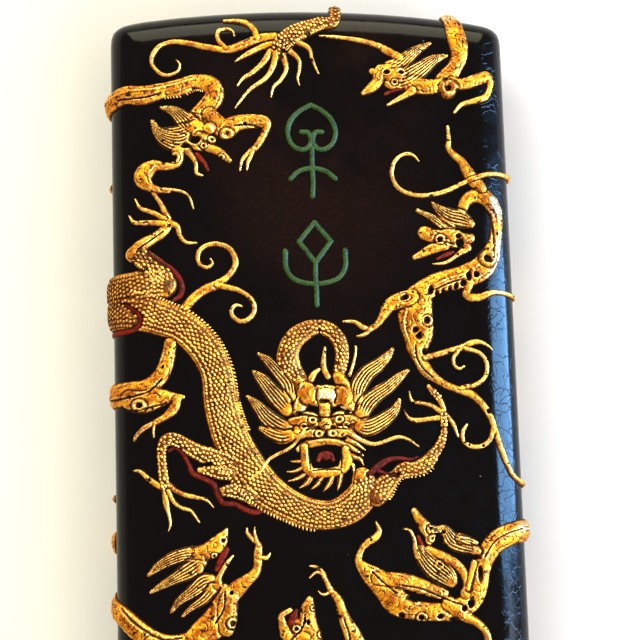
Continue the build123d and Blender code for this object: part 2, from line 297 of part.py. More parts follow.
tongues = {
    "top_left": [[(-22, 49.3, 0.5), (-21.3, 48.4, 0.5), (-20.6, 47.6, 0.4), (-20.1, 46.4, 0.3)]],
    "top_right": [[(13.9, 60.9, 0.3), (15.4, 61.6, 0.45), (17, 62, 0.4)]],
    "right": [[(22.6, 29, 0.25), (24.2, 29.7, 0.5), (25.6, 30.2, 0.35)]],
    "lower_left": [[(-18.2, -23.6, 0.6), (-19, -25, 0.7), (-19.9, -27, 0.5)]],
    "lower_centre": [[(-5.8, -34.9, 0.4), (-6.4, -36, 0.8), (-7, -37.4, 0.6)]],
    "lower_right": [[(16.9, -22.4, 0.3), (17.2, -23.4, 0.5), (17.6, -24.2, 0.4)]],
    "bottom": [[(15.4, -67.2, 0.35), (17, -67, 0.5), (18.6, -66.4, 0.4)]],
}
great_tongue = [[(-1, -8, 0.4), (-0.6, -7.2, 0.5), (0.4, -6.9, 0.6), (1.3, -7.2, 0.5), (1.7, -8, 0.4)]]
upper_ornament = [
    [(-0.4, 58.8, 0.5), (-2.6, 57.6, 0.5), (-4.4, 55.6, 0.55), (-4.9, 53, 0.5), (-3.8, 50.8, 0.5),
     (-1.8, 50.2, 0.5), (-0.6, 51.6, 0.5), (-1, 53.4, 0.5), (-2.4, 53.6, 0.45)],
    [(-0.4, 58.8, 0.5), (1.8, 57.6, 0.5), (3.6, 55.6, 0.55), (4.1, 53, 0.5), (3, 50.8, 0.5),
     (1, 50.2, 0.5), (-0.2, 51.6, 0.5), (0.2, 53.4, 0.5), (1.6, 53.6, 0.45)],
    [(-0.4, 50.6, 0.5), (-0.5, 47, 0.5), (-0.4, 44, 0.5), (-0.6, 41.2, 0.5)],
    [(-4.6, 44.6, 0.5), (-3, 46, 0.5), (-0.5, 46.6, 0.5), (2, 46, 0.5), (3.8, 44.6, 0.5)],
]
lower_ornament = [
    [(-0.4, 36.2, 0.5), (-3.4, 32.6, 0.5)],
    [(-3.4, 32.6, 0.5), (-0.4, 28.6, 0.5)],
    [(-0.4, 28.6, 0.5), (2.6, 32.6, 0.5)],
    [(2.6, 32.6, 0.5), (-0.4, 36.2, 0.5)],
    [(-0.4, 29, 0.5), (-0.5, 26, 0.5), (-0.4, 23.4, 0.5), (-0.4, 20.6, 0.5)],
    [(-6, 30.8, 0.55), (-5.9, 27.6, 0.5), (-4.2, 25.4, 0.5), (-0.5, 24.6, 0.5), (3.4, 25.4, 0.5),
     (5.1, 27.6, 0.5), (5.2, 30.8, 0.55)],
]


# ---- the cake ---------------------------------------------------------------------------------
def rounded_end(grow):
    """Disc with a rounded rim, whose edge is the arch across one end of the cake."""
    disc = arch_radius + grow
    with BuildPart() as end:
        with BuildSketch(Plane.XZ):
            with Locations((0, mid)):
                RectangleRounded(2 * disc, thickness + 2 * grow, edge_radius + grow)
            with Locations((-disc, mid)):
                Rectangle(2 * disc, 4 * thickness, mode=Mode.SUBTRACT)
        revolve(axis=Axis.Z)
    return end.part


def pillow(grow):
    """The cake grown outwards by one amount all over."""
    with BuildPart() as body:
        with BuildSketch(Plane.XY.offset(mid - thickness)):
            Rectangle(width + 2 * grow, 2 * length)
            for way in (1, -1):
                with Locations((0, way * (length / 2 - arch_radius))):
                    Circle(arch_radius + grow, mode=Mode.INTERSECT)
        extrude(amount=2 * thickness)
        fillet(body.edges().filter_by(Axis.Z), corner_radius + grow)
        with BuildSketch(Plane.XZ.offset(-length)):
            with Locations((0, mid)):
                RectangleRounded(width + 2 * grow, thickness + 2 * grow, edge_radius + grow)
        extrude(amount=2 * length, mode=Mode.INTERSECT)
        for way in (1, -1):
            end = rounded_end(grow).moved(Location((0, way * (length / 2 - arch_radius), 0)))
            add(end, mode=Mode.INTERSECT)
    return body.part


with BuildPart() as ink_cake:
    add(pillow(0))


@lru_cache
def shell(grow):
    """Upper half of the skin between the cake and the cake grown by one relief height."""
    with BuildPart() as skin:
        add(pillow(grow))
        with Locations((0, 0, mid - thickness)):
            Box(3 * width, 3 * length, 2 * thickness, mode=Mode.SUBTRACT)
        add(ink_cake.part, mode=Mode.SUBTRACT)
    return skin.part


# ---- the relief -------------------------------------------------------------------------------
def stroke(points, share):
    """Face round one centreline, its half widths times a share, with round ends."""
    line = [Vector(x * scale_x, y * scale_y) for x, y, _ in points]
    half = [w * scale_w * share for _, _, w in points]
    last = len(line) - 1
    along = [(line[min(i + 1, last)] - line[max(i - 1, 0)]).normalized() for i in range(last + 1)]
    left = [p + Vector(-t.Y, t.X) * w for p, t, w in zip(line, along, half)]
    right = [p - Vector(-t.Y, t.X) * w for p, t, w in zip(line, along, half)][::-1]
    sides = Curve() + [
        Spline(left),
        ThreePointArc(left[-1], line[-1] + along[-1] * half[-1], right[0]),
        Spline(right),
        ThreePointArc(right[-1], line[0] - along[0] * half[0], left[0]),
    ]
    return make_face(sides.edges())


@lru_cache
def plan(name, share=1.0):
    """Strokes of one figure joined into one outline."""
    with BuildSketch(Plane.XY) as drawn:
        for points in figures[name][0]:
            add(stroke(points, share))
    return drawn.sketch


def relief(name, height, over):
    """One figure in two steps, wrapped on the cake, left clear of the figures that lie over it."""
    with BuildPart() as figure:
        for share, grow in ((1.0, height * skirt_share), (crown_share, height)):
            with BuildSketch(Plane.XY.offset(mid)):
                add(plan(name, share))
                for other in over:
                    add(plan(other), mode=Mode.SUBTRACT)
            step = extrude(amount=thickness, mode=Mode.PRIVATE)
            add(step & shell(round(grow, 4)))
    return figure.part


# Each figure: its strokes, its height, and the figures that lie over it.
head_parts = ["great_dragon_head", "great_dragon_tongue"]
limbs = ["great_dragon_foreleg", "great_dragon_lower_hind_leg", "great_dragon_upper_hind_leg"]
manes = ["great_dragon_mane_left", "great_dragon_mane_right"]
figures = {
    "great_dragon_whiskers": (great_dragon["whiskers"], relief_low, []),
    "great_dragon_tongue": (great_tongue, relief_low, []),
    "great_dragon_head": (great_dragon["head"], relief_high,
                          ["great_dragon_whiskers", "great_dragon_tongue"]),
    "great_dragon_beard": (great_dragon["beard"], relief_mid, head_parts),
    "great_dragon_horns": (great_dragon["horns"], relief_mid, head_parts),
    "great_dragon_mane_left": (
        great_dragon["mane_left"], relief_mid, head_parts + ["great_dragon_whiskers"]),
    "great_dragon_mane_right": (
        great_dragon["mane_right"], relief_mid,
        head_parts + ["great_dragon_whiskers", "great_dragon_horns"]),
    "great_dragon_flames": (flames, relief_low, []),
    "great_dragon_foreleg": (
        great_dragon["foreleg"], relief_high, ["great_dragon_flames", "young_dragon_right"]),
    "great_dragon_lower_hind_leg": (great_dragon["lower_hind_leg"], relief_high, ["great_dragon_flames"]),
    "great_dragon_upper_hind_leg": (
        great_dragon["upper_hind_leg"], relief_high, ["great_dragon_flames", "young_dragon_top_left"]),
    "great_dragon_body": (
        great_dragon["body"], relief_high,
        head_parts + limbs + manes
        + ["great_dragon_flames", "great_dragon_whiskers", "great_dragon_horns", "great_dragon_beard"]),
    "great_dragon_tail": (
        great_dragon["tail"], relief_mid,
        ["great_dragon_body", "great_dragon_flames", "great_dragon_upper_hind_leg"]),
    "over_top_leg": (over_top_leg, relief_high, []),
    "over_top_tail": (over_top_tail, relief_mid, ["over_top_leg"]),
    "upper_ornament": (upper_ornament, relief_low, []),
    "lower_ornament": (lower_ornament, relief_low, []),
}
for place, strokes in tongues.items():
    figures[f"young_tongue_{place}"] = (strokes, relief_low, [])
for place, strokes in young_dragons.items():
    over = [f"young_tongue_{place}"] if place in tongues else []
    over += ["great_dragon_body"] if place == "left" else []
    figures[f"young_dragon_{place}"] = (strokes, relief_high, over)

front = {name: relief(name, height, over) for name, (_, height, over) in figures.items()}


# ---- the back: the same dragons, turned about the long axis, with no ornament between them --------
turn = Axis((0, 0, mid), (0, 1, 0))
back = {
    f"back_{name}": part.rotate(turn, 180)
    for name, part in front.items()
    if "ornament" not in name and "young_tongue" not in name
}
with BuildPart() as back_young_tongues:
    for name, part in front.items():
        if "young_tongue" in name:
            add(part.rotate(turn, 180))
back["back_young_tongues"] = back_young_tongues.part

# ---- out --------------------------------------------------------------------------------------
os.makedirs("parts", exist_ok=True)
for name, part in {"ink_cake": ink_cake.part, **front, **back}.items():
    part.label = name
    export_step(part, f"parts/{name}.step", write_pcurves=False)
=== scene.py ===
"""Carved ink stick: the lacquered cake and its gilded dragons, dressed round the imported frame.

The relief is worked on an unrolled skin of the cake. On it u runs across the stick and v along it, in
millimetres, and both equal x and y on the flat of the face. Heights are millimetres above the cake.
"""

from __future__ import annotations

import logging
import math
from dataclasses import dataclass, field
from enum import Enum
from typing import Any, Iterator

import bmesh
import bpy
import numpy as np
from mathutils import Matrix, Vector


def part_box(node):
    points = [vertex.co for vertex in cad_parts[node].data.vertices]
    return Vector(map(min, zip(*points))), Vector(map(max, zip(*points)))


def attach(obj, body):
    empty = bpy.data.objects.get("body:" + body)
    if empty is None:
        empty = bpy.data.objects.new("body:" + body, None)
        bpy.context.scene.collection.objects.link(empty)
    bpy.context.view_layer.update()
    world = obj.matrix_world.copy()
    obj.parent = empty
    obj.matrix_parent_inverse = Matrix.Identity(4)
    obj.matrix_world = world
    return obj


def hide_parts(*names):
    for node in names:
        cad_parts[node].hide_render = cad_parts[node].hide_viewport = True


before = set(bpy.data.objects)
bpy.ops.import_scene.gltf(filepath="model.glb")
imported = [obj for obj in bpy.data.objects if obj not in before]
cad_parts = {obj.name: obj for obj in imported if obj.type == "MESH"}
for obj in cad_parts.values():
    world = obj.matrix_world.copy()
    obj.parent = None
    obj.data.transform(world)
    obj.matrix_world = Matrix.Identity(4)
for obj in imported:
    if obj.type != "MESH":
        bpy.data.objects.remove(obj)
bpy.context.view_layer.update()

LOG = logging.getLogger("ink_stick")
MM = 0.001
ROOT = "root"
TONE = "relief"  # colour attribute with the painted shade, the rubbing with painted highlight, and the painted reflection of each vertex
Stroke = list[tuple[float, float, float]]

# ---- the figures: strokes of (x, y, half width), in mm on a field with its centre at (0, 0) -----
GREAT_DRAGON: dict[str, list[Stroke]] = {
    "body": [
        [(-40, 20.5, 3.6), (-34, 20, 3.5), (-29.5, 18.7, 3.3), (-25.2, 16.8, 3.1), (-21.6, 13.2, 3.1),
         (-19.3, 8.5, 3), (-18.6, 3, 3.2), (-17.4, -2, 3.4), (-15.8, -6, 3.5), (-13.2, -10.4, 3.6),
         (-10.2, -13.6, 3.3), (-6.5, -16, 2.9), (-2.5, -17.7, 2.8), (1.5, -17.9, 2.7), (5, -16.4, 3),
         (7.2, -13.8, 2.8), (6.9, -11.4, 1.9)],
        [(-4.6, 6.8, 2), (-5.9, 9, 2.3), (-6.1, 11.6, 2.1), (-5, 14.1, 2), (-2.8, 15.8, 1.8),
         (-0.4, 16.5, 1.4), (1.6, 15.9, 1.5), (3.2, 14.3, 1.5), (3.9, 12.2, 1.4), (3.8, 10, 1.3),
         (3.2, 7.8, 1.2)],
    ],
    "head": [
        [(-4.2, 6.6, 1.1), (-3.4, 4.6, 1.7), (-4, 2.4, 1.5), (-4.9, 0.9, 1)],
        [(3.2, 7.2, 1.2), (4, 5.2, 1.5), (4.5, 3, 1.6), (5, 1.4, 1.1)],
        [(-2.4, 3.8, 1.8), (0.7, 3.6, 2.2), (3.4, 3.6, 1.8)],
        [(-5.8, -0.9, 0.8), (-4.4, -0.6, 1.2), (-2.4, -0.6, 1.5), (-0.8, -1, 1)],
        [(1.6, -1, 1), (3.2, -0.6, 1.5), (5, -0.6, 1.2), (6.3, -1, 0.8)],
        [(0.4, 1.8, 1.1), (0.4, -0.4, 1.1), (0.4, -2, 1.3), (0.4, -3.4, 1.3)],
        [(-5.6, -3.4, 0.8), (-4.2, -3, 1.2), (-2.4, -3.1, 1.2), (-0.8, -3.4, 1.2)],
        [(1.6, -3.4, 1.2), (3.2, -3, 1.2), (4.8, -3.2, 0.9), (5.8, -3.9, 0.5)],
        [(-4.6, -6, 0.6), (-3.4, -5.2, 0.8), (-1.4, -4.8, 0.8), (0.5, -4.6, 0.8), (2.6, -4.9, 0.7),
         (4.2, -5.5, 0.7), (5.8, -6.4, 0.45), (7.2, -7.4, 0.2)],
        [(4.4, -4.4, 0.6), (6, -5.2, 0.4), (7.6, -6.4, 0.15)],
        [(-3.6, -5.6, 0.8), (-3.5, -7.4, 0.9), (-3.3, -9, 1), (-2.4, -10.2, 1), (-0.4, -10.4, 0.9),
         (1.6, -10.3, 0.9), (3.2, -9.8, 1), (4.1, -8.2, 1.2), (3.9, -6.2, 0.8)],
    ],
    "mane_left": [
        [(-11.5, 11.7, 0.4), (-9.8, 10.3, 1), (-8, 8.2, 1.3), (-6.4, 6, 1.5), (-5.9, 3.6, 1.3)],
        [(-12.5, 8.4, 0.45), (-11, 7, 1.2), (-9.5, 5, 1.6), (-8, 3.2, 1.8), (-6.6, 1.4, 1.4)],
        [(-13.7, 3.9, 0.4), (-12, 2.2, 1.1), (-10.4, 0.2, 1.6), (-8.6, -1.4, 1.9), (-7, -2.2, 1.7)],
        [(-11.4, -2, 0.6), (-9.6, -3, 1.1), (-7.6, -3.7, 1.3), (-6, -3.4, 1.1)],
    ],
    "mane_right": [
        [(13.4, 12.1, 0.45), (12.4, 10.8, 0.9), (10.6, 9.2, 1.3), (8.4, 7.6, 1.6), (6.8, 5.4, 1.7),
         (6.4, 3, 1.3)],
        [(16, 8, 0.5), (14.2, 6.6, 1), (12.2, 5, 1.3), (10, 3.6, 1.5), (8.2, 2, 1.7), (7.2, 0.2, 1.5)],
        [(14.3, 2.6, 0.45), (13.4, 0.8, 1), (11.8, -0.6, 1.4), (9.8, -1.8, 1.6), (8, -2.3, 1.7),
         (6.8, -2, 1.3)],
    ],
    "horns": [
        [(0.8, 12.6, 0.3), (0.5, 10.6, 0.5), (0.5, 8.8, 0.6), (1.2, 7.2, 0.6)],
        [(6.5, 12.7, 0.3), (6.4, 11.2, 0.3), (5.9, 9.4, 0.35), (5.2, 7.4, 0.4)],
        [(-0.4, 8.6, 0.35), (-1.4, 7.8, 0.6), (-2, 6.8, 0.7)],
    ],
    "beard": [
        [(-6.2, -8.1, 0.15), (-5, -8.2, 0.35), (-3.6, -8.2, 0.5)],
        [(-6.9, -10, 0.15), (-5.4, -9.9, 0.35), (-3.8, -9.2, 0.5)],
        [(-6.7, -11.7, 0.15), (-5, -11.3, 0.4), (-3, -10.2, 0.6)],
        [(-4.7, -13, 0.15), (-3.4, -12.2, 0.5), (-2.4, -10.6, 0.7)],
        [(-2.6, -13.3, 0.15), (-1.4, -12.4, 0.45), (-0.4, -10.8, 0.6)],
        [(-0.4, -13.8, 0.15), (0.7, -12.5, 0.5), (1.5, -10.6, 0.6)],
        [(2.3, -13.6, 0.15), (2.7, -12.1, 0.5), (3, -10.2, 0.6)],
        [(5.4, -10.5, 0.2), (5.2, -9.3, 0.5), (4.5, -8.2, 0.6)],
        [(7.2, -9.2, 0.15), (6.6, -8, 0.45), (5, -7.4, 0.6)],
    ],
    "whiskers": [
        [(-3.6, -2.6, 0.3), (-5.3, -4.9, 0.3), (-6.8, -6, 0.3), (-8.4, -6.7, 0.3), (-10, -7.6, 0.3),
         (-11, -8.8, 0.3), (-12, -10, 0.25), (-13.4, -11, 0.2)],
        [(4.4, -3, 0.4), (6, -4, 0.45), (8.4, -5.2, 0.4), (10, -5.3, 0.35), (11.6, -4.8, 0.35),
         (13.8, -4.2, 0.35), (15.6, -4.6, 0.25), (17.6, -6, 0.15)],
    ],
    "upper_hind_leg": [
        [(-40, 24.2, 3), (-35, 24.4, 2.9), (-31.5, 24.9, 2.9), (-28.8, 24.9, 2.7)],
        [(-28.7, 25.2, 2.5), (-29.4, 26.9, 2.3), (-30.8, 28.4, 2.1), (-32.3, 29.7, 1.9), (-33.6, 30.6, 1.6)],
        [(-34, 30.5, 1.5), (-32.4, 32.2, 1.2), (-30.6, 33.3, 1), (-28.9, 34.4, 1), (-27.8, 35.8, 1),
         (-27.7, 37, 0.8), (-28.8, 39.8, 0.5), (-30.2, 42, 0.5)],
        [(-27.8, 36.4, 0.7), (-29.4, 37.8, 0.6), (-31.2, 38.6, 0.5), (-32.6, 39.2, 0.4), (-33.5, 40.9, 0.2)],
        [(-28, 36, 0.7), (-30, 36.4, 0.6), (-32.4, 36.4, 0.5), (-33.8, 36.6, 0.4), (-34.6, 37.9, 0.2)],
        [(-27.2, 36.4, 0.7), (-25.9, 35.6, 0.55), (-25.5, 34, 0.5), (-24.4, 32.7, 0.4), (-22.4, 32.5, 0.2)],
    ],
    "lower_hind_leg": [
        [(-16.4, -9, 1.6), (-18.2, -8.2, 2.1), (-20.2, -7.2, 1.9), (-22.6, -6.2, 1.6), (-24.8, -4.9, 1.4),
         (-26.6, -3.8, 1.3), (-28.2, -3.5, 1.2), (-29.3, -4.6, 0.95), (-29.5, -6.2, 0.85),
         (-29.4, -8, 0.85), (-29.2, -10, 0.9), (-28.9, -12, 0.9)],
        [(-17, -10.2, 1.2), (-19.4, -9.8, 1.2), (-21.2, -9.4, 0.9), (-22.6, -9.2, 0.6)],
        [(-13.2, -14.6, 1.5), (-15.2, -13.4, 1.6), (-17, -13.1, 1.4), (-18.6, -13.2, 0.9)],
        [(-29.4, -12.2, 0.7), (-31, -11.2, 0.6), (-32.2, -10.2, 0.5), (-33.4, -9.1, 0.4), (-34.4, -9, 0.2)],
        [(-29, -12, 0.7), (-28.8, -15, 0.6), (-28.4, -16.8, 0.4), (-28.1, -18.6, 0.3), (-28.5, -20, 0.15)],
        [(-28.3, -11.8, 0.7), (-27, -12.8, 0.5), (-25.4, -13.6, 0.5), (-23.4, -14.1, 0.45),
         (-21.6, -14.6, 0.35), (-20.3, -16, 0.15)],
        [(-28.4, -12.8, 0.5), (-27.4, -14.8, 0.45), (-26, -15.9, 0.4), (-24.4, -16.5, 0.4),
         (-22.9, -18.6, 0.2)],
    ],
    "foreleg": [
        [(9.4, -14.6, 2.2), (11, -13, 2), (13, -11.4, 1.2), (14.6, -10.2, 1.4), (16.8, -10.1, 1.4),
         (18.8, -9.2, 1.5), (20.3, -7.5, 1.1), (21.5, -5.9, 0.9), (22.4, -3.4, 0.6), (22.4, -0.8, 0.7),
         (22.4, 1, 0.55), (21.8, 2.6, 0.6), (20.6, 4, 0.6), (19.9, 5, 0.5)],
        [(22, 0.2, 0.6), (20.4, 1.4, 0.45), (18.6, 1.9, 0.4), (16.7, 2.4, 0.35), (16.2, 4.2, 0.15)],
        [(22, -0.8, 0.6), (19.8, -1, 0.5), (17.4, -1.2, 0.5), (15.9, -0.7, 0.35), (15.1, 0.8, 0.15)],
        [(22.8, -0.2, 0.5), (24.2, -2, 0.45), (25, -4.4, 0.25)],
    ],
    "tail": [
        [(-24.8, 20.6, 0.9), (-22.8, 22.6, 0.9), (-20.8, 23.9, 0.9), (-18.8, 24.7, 0.9), (-17, 26, 0.6),
         (-15.8, 27.4, 0.6), (-15.3, 28.8, 0.6), (-15.7, 30.4, 0.6), (-16.8, 31.7, 0.55),
         (-18.6, 32.3, 0.5), (-20.4, 32.1, 0.5), (-21.8, 31.2, 0.5), (-22.3, 29.8, 0.5),
         (-21.8, 28.4, 0.45), (-20.6, 27.9, 0.4), (-19.6, 28.6, 0.35), (-19.9, 29.5, 0.25)],
        [(-18.8, 24.5, 0.6), (-17, 24.2, 0.6), (-15.2, 23.7, 0.55), (-13.6, 22.8, 0.5), (-12.4, 21.6, 0.5),
         (-12, 20.1, 0.5), (-12.5, 18.8, 0.5), (-13.7, 17.9, 0.5), (-15, 17.9, 0.5), (-16.1, 18.8, 0.5),
         (-16.3, 19.9, 0.45), (-15.5, 20.8, 0.4), (-14.3, 20.6, 0.25)],
    ],
}
FLAMES: list[Stroke] = [
    [(-31.2, 31, 0.35), (-30.9, 30.3, 0.4), (-29.4, 29.3, 0.4), (-27.4, 28, 0.45), (-25.9, 26.3, 0.5),
     (-25.2, 24.4, 0.5), (-25.6, 22.8, 0.5), (-26.8, 21.9, 0.35)],
    [(-35.8, 21.6, 0.3), (-34.2, 20.4, 0.45), (-33.1, 19.2, 0.5), (-32.9, 18, 0.5), (-33.6, 17, 0.5),
     (-35.4, 16.4, 0.5), (-39.5, 16.3, 0.5)],
    [(-28.2, -5.6, 0.3), (-27, -5.1, 0.35), (-25.6, -6.2, 0.35), (-24.6, -8.2, 0.4), (-23.8, -9.8, 0.5),
     (-21.6, -10.9, 0.5), (-20.2, -11.8, 0.5), (-19.6, -13.4, 0.5), (-18.6, -15.2, 0.5),
     (-16.4, -15.5, 0.5), (-14.6, -16.5, 0.5), (-12.8, -17.1, 0.5), (-11.6, -16.8, 0.4)],
    [(8.2, -10.9, 0.5), (10, -9.4, 0.6), (12, -8.3, 0.5), (14, -8.1, 0.4), (16, -8.4, 0.35),
     (17.4, -8, 0.25)],
    [(10, -10.3, 0.4), (11.6, -10.9, 0.3), (13.4, -11.1, 0.25)],
]
OVER_TOP_LEG: list[Stroke] = [
    [(5.5, 81.5, 1.2), (4.6, 75.4, 1.1), (2, 74.7, 1.3), (-1, 73.6, 1.6), (-3.5, 72.4, 1.9),
     (-5.5, 70.8, 1.9), (-6.4, 69, 1.5)],
    [(-6.6, 70.6, 0.9), (-8.6, 70.3, 0.7), (-10.6, 69.5, 0.6), (-12.6, 68.4, 0.5), (-14.6, 67.2, 0.2)],
    [(-7.8, 69, 0.8), (-9.4, 66.8, 0.6), (-11.5, 64.9, 0.5), (-13, 64, 0.4), (-14.2, 62.5, 0.2)],
    [(-6.8, 68.6, 0.8), (-7.5, 66, 0.6), (-9, 63.8, 0.5), (-12, 61.6, 0.4), (-14.8, 58.1, 0.2)],
    [(-5.6, 68.6, 0.8), (-4.9, 65.8, 0.5), (-6, 63.6, 0.4), (-7.4, 62.2, 0.35), (-7.9, 60.3, 0.2)],
    [(-4.4, 69.6, 0.7), (-2.5, 67.6, 0.45), (-2.4, 65.6, 0.4), (-2.8, 64, 0.3), (-2.5, 62.6, 0.2)],
    [(-3.4, 71.4, 0.7), (-0.6, 69.9, 0.5), (0, 68, 0.4), (0.6, 66.3, 0.3), (1.2, 64.9, 0.2)],
]
OVER_TOP_TAIL: list[Stroke] = [
    [(-7, 72.1, 0.9), (-10, 71.7, 0.9), (-12.5, 70.6, 0.9), (-16, 69.5, 0.75), (-20, 70, 0.65),
     (-23, 70.7, 0.6), (-26, 71, 0.55), (-28.5, 70.2, 0.5), (-30, 68.3, 0.5), (-30, 66.5, 0.45),
     (-28.5, 64.8, 0.45), (-27, 64.5, 0.4), (-25.3, 65.3, 0.35), (-24.9, 66.5, 0.3), (-25.6, 67.6, 0.2)],
    [(-16.2, 69.8, 0.5), (-17.6, 71.4, 0.5), (-17.6, 73, 0.45), (-16.2, 73.6, 0.4), (-14.9, 73.2, 0.3),
     (-14.6, 72.2, 0.2)],
    [(-10.3, 71.9, 0.7), (-10.8, 73.4, 0.65), (-12, 74.7, 0.6), (-14, 75.3, 0.5), (-16.4, 75.3, 0.3)],
]
